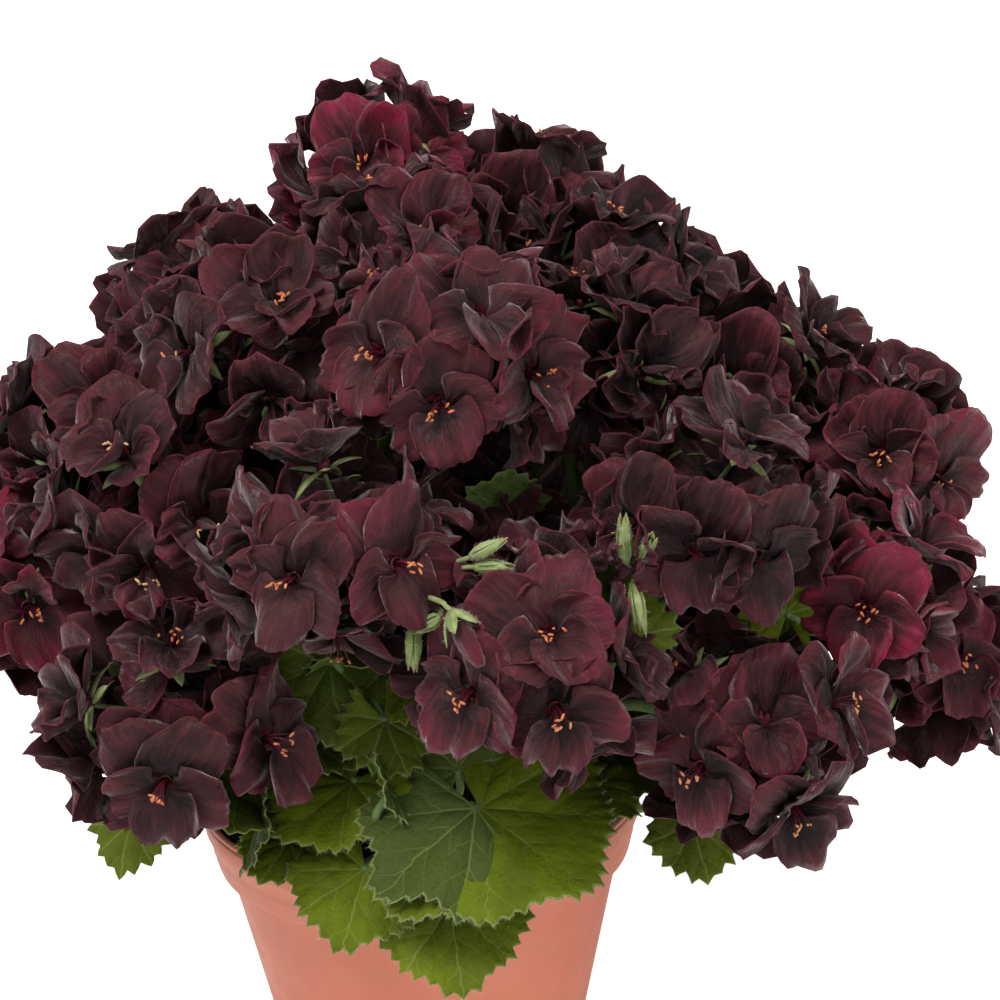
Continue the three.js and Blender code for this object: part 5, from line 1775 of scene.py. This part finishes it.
hole_shape = Shape()
for i in range(DRAIN["count"]):
    angle = 2 * math.pi * i / DRAIN["count"]
    away = DRAIN["pitch_radius"]
    foot = np.array([away * math.cos(angle), away * math.sin(angle), DRAIN["from"]])
    hole_shape.add(*tube([foot, foot + UP * DRAIN["length"]], DRAIN["radius"], DRAIN["sides"]))
cutter = bpy.data.objects.new("drain_cutter", hole_shape.mesh("drain_cutter"))
bpy.context.scene.collection.objects.link(cutter)
cut = pot.modifiers.new("drain_holes", "BOOLEAN")
cut.operation = "DIFFERENCE"
cut.object = cutter
cut.solver = "EXACT"
drilled = bpy.data.meshes.new_from_object(pot.evaluated_get(bpy.context.evaluated_depsgraph_get()))
pot.modifiers.clear()
pot.data = drilled
bpy.data.objects.remove(cutter)
TRIANGLES["pot_shell"] = triangles_of(pot)
print("pot faces:", len(pot.data.polygons))

# %% [markdown]
# ## The soil
# Peat-based potting soil: a crumbly, almost black brown with paler fibres and bits of bark. Its top is a
# fine round grid raised by the formula of the frame's solid and roughened, with loose crumbs pressed in.

# %% The soil
SOIL_RADIUS = 64.5
SOIL_SIDES, SOIL_RINGS = 96, 24
SOIL_SIDE = [(0, 3.2), (39, 3.2), (49.4, 46.5), (59.6, 92), (60.2, 93.4), (SOIL_RADIUS - 1, 97)]
CRUMBS = 420
SOIL_DARK = (0.010, 0.006, 0.004, 1)
SOIL_BROWN = (0.040, 0.025, 0.015, 1)
SOIL_FIBRE = (0.160, 0.100, 0.055, 1)


def soil_height(x, y):
    """The height of the soil's top over the pot's foot."""
    return SOIL_TOP + 1.1 * np.sin(0.21 * x + 1) * np.cos(0.17 * y) + 0.8 * np.sin(0.09 * x - 0.13 * y)


soil_finish, tree, shader = new_material("potting_soil")
colour, patches = mottled(tree, SOIL_DARK, SOIL_BROWN, 150.0, 0.5)
crumb = noise(tree, object_place(tree), 500.0, 5.0, 0.7)
fill(tree, shader, {
    "Base Color": layered(tree, colour, (between(tree, patches["Specks"], 0.75, 1.0, 0.0, 0.8), SOIL_FIBRE)),
    "Roughness": 0.95,
    "Normal": bumped(tree, crumb, 0.8, 0.002),
})

# the rings of the top are turned at height 0, which marks them, and then raised
soil = Shape()
levels = [SOIL_RADIUS * k / SOIL_RINGS for k in range(SOIL_RINGS, 0, -1)]
points, faces = lathe(SOIL_SIDE + [(radius, 0) for radius in levels] + [(0, 0)], SOIL_SIDES)
top = points[:, 2] == 0
x, y = points[top, 0], points[top, 1]
rough = 0.5 * np.sin(0.9 * x + 1.7 * y) * np.sin(1.3 * y - 0.4 * x)
rough = rough + 0.35 * np.sin(2.3 * x) * np.sin(2.1 * y + x)
points[top, 2] = soil_height(x, y) + rough * (1 - (np.hypot(x, y) / SOIL_RADIUS) ** 6)
soil.add(points, faces)
for i in range(CRUMBS):
    away = SOIL_RADIUS * 0.97 * math.sqrt(chance(i, 1, 1))
    angle = 2 * math.pi * chance(i, 1, 2)
    x, y = away * math.cos(angle), away * math.sin(angle)
    size = 0.8 + 2.2 * chance(i, 1, 3) ** 2
    centre = np.array([x, y, soil_height(x, y) + size * 0.15])
    lie = [spread(i, 2, 1, 2), spread(i, 2, 2, 2), spread(i, 2, 3, 0.8)]
    soil.add(*pod(centre, lie, size * (1.2 + 1.5 * chance(i, 2, 4)), size * 0.6, 5, 3))
make_piece("soil_bed", soil, soil_finish, ["soil"])
print("triangles so far:", sum(TRIANGLES.values()))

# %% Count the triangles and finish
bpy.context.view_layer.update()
print("triangles in all:", sum(TRIANGLES.values()), "most in a piece:", max(TRIANGLES.values()))
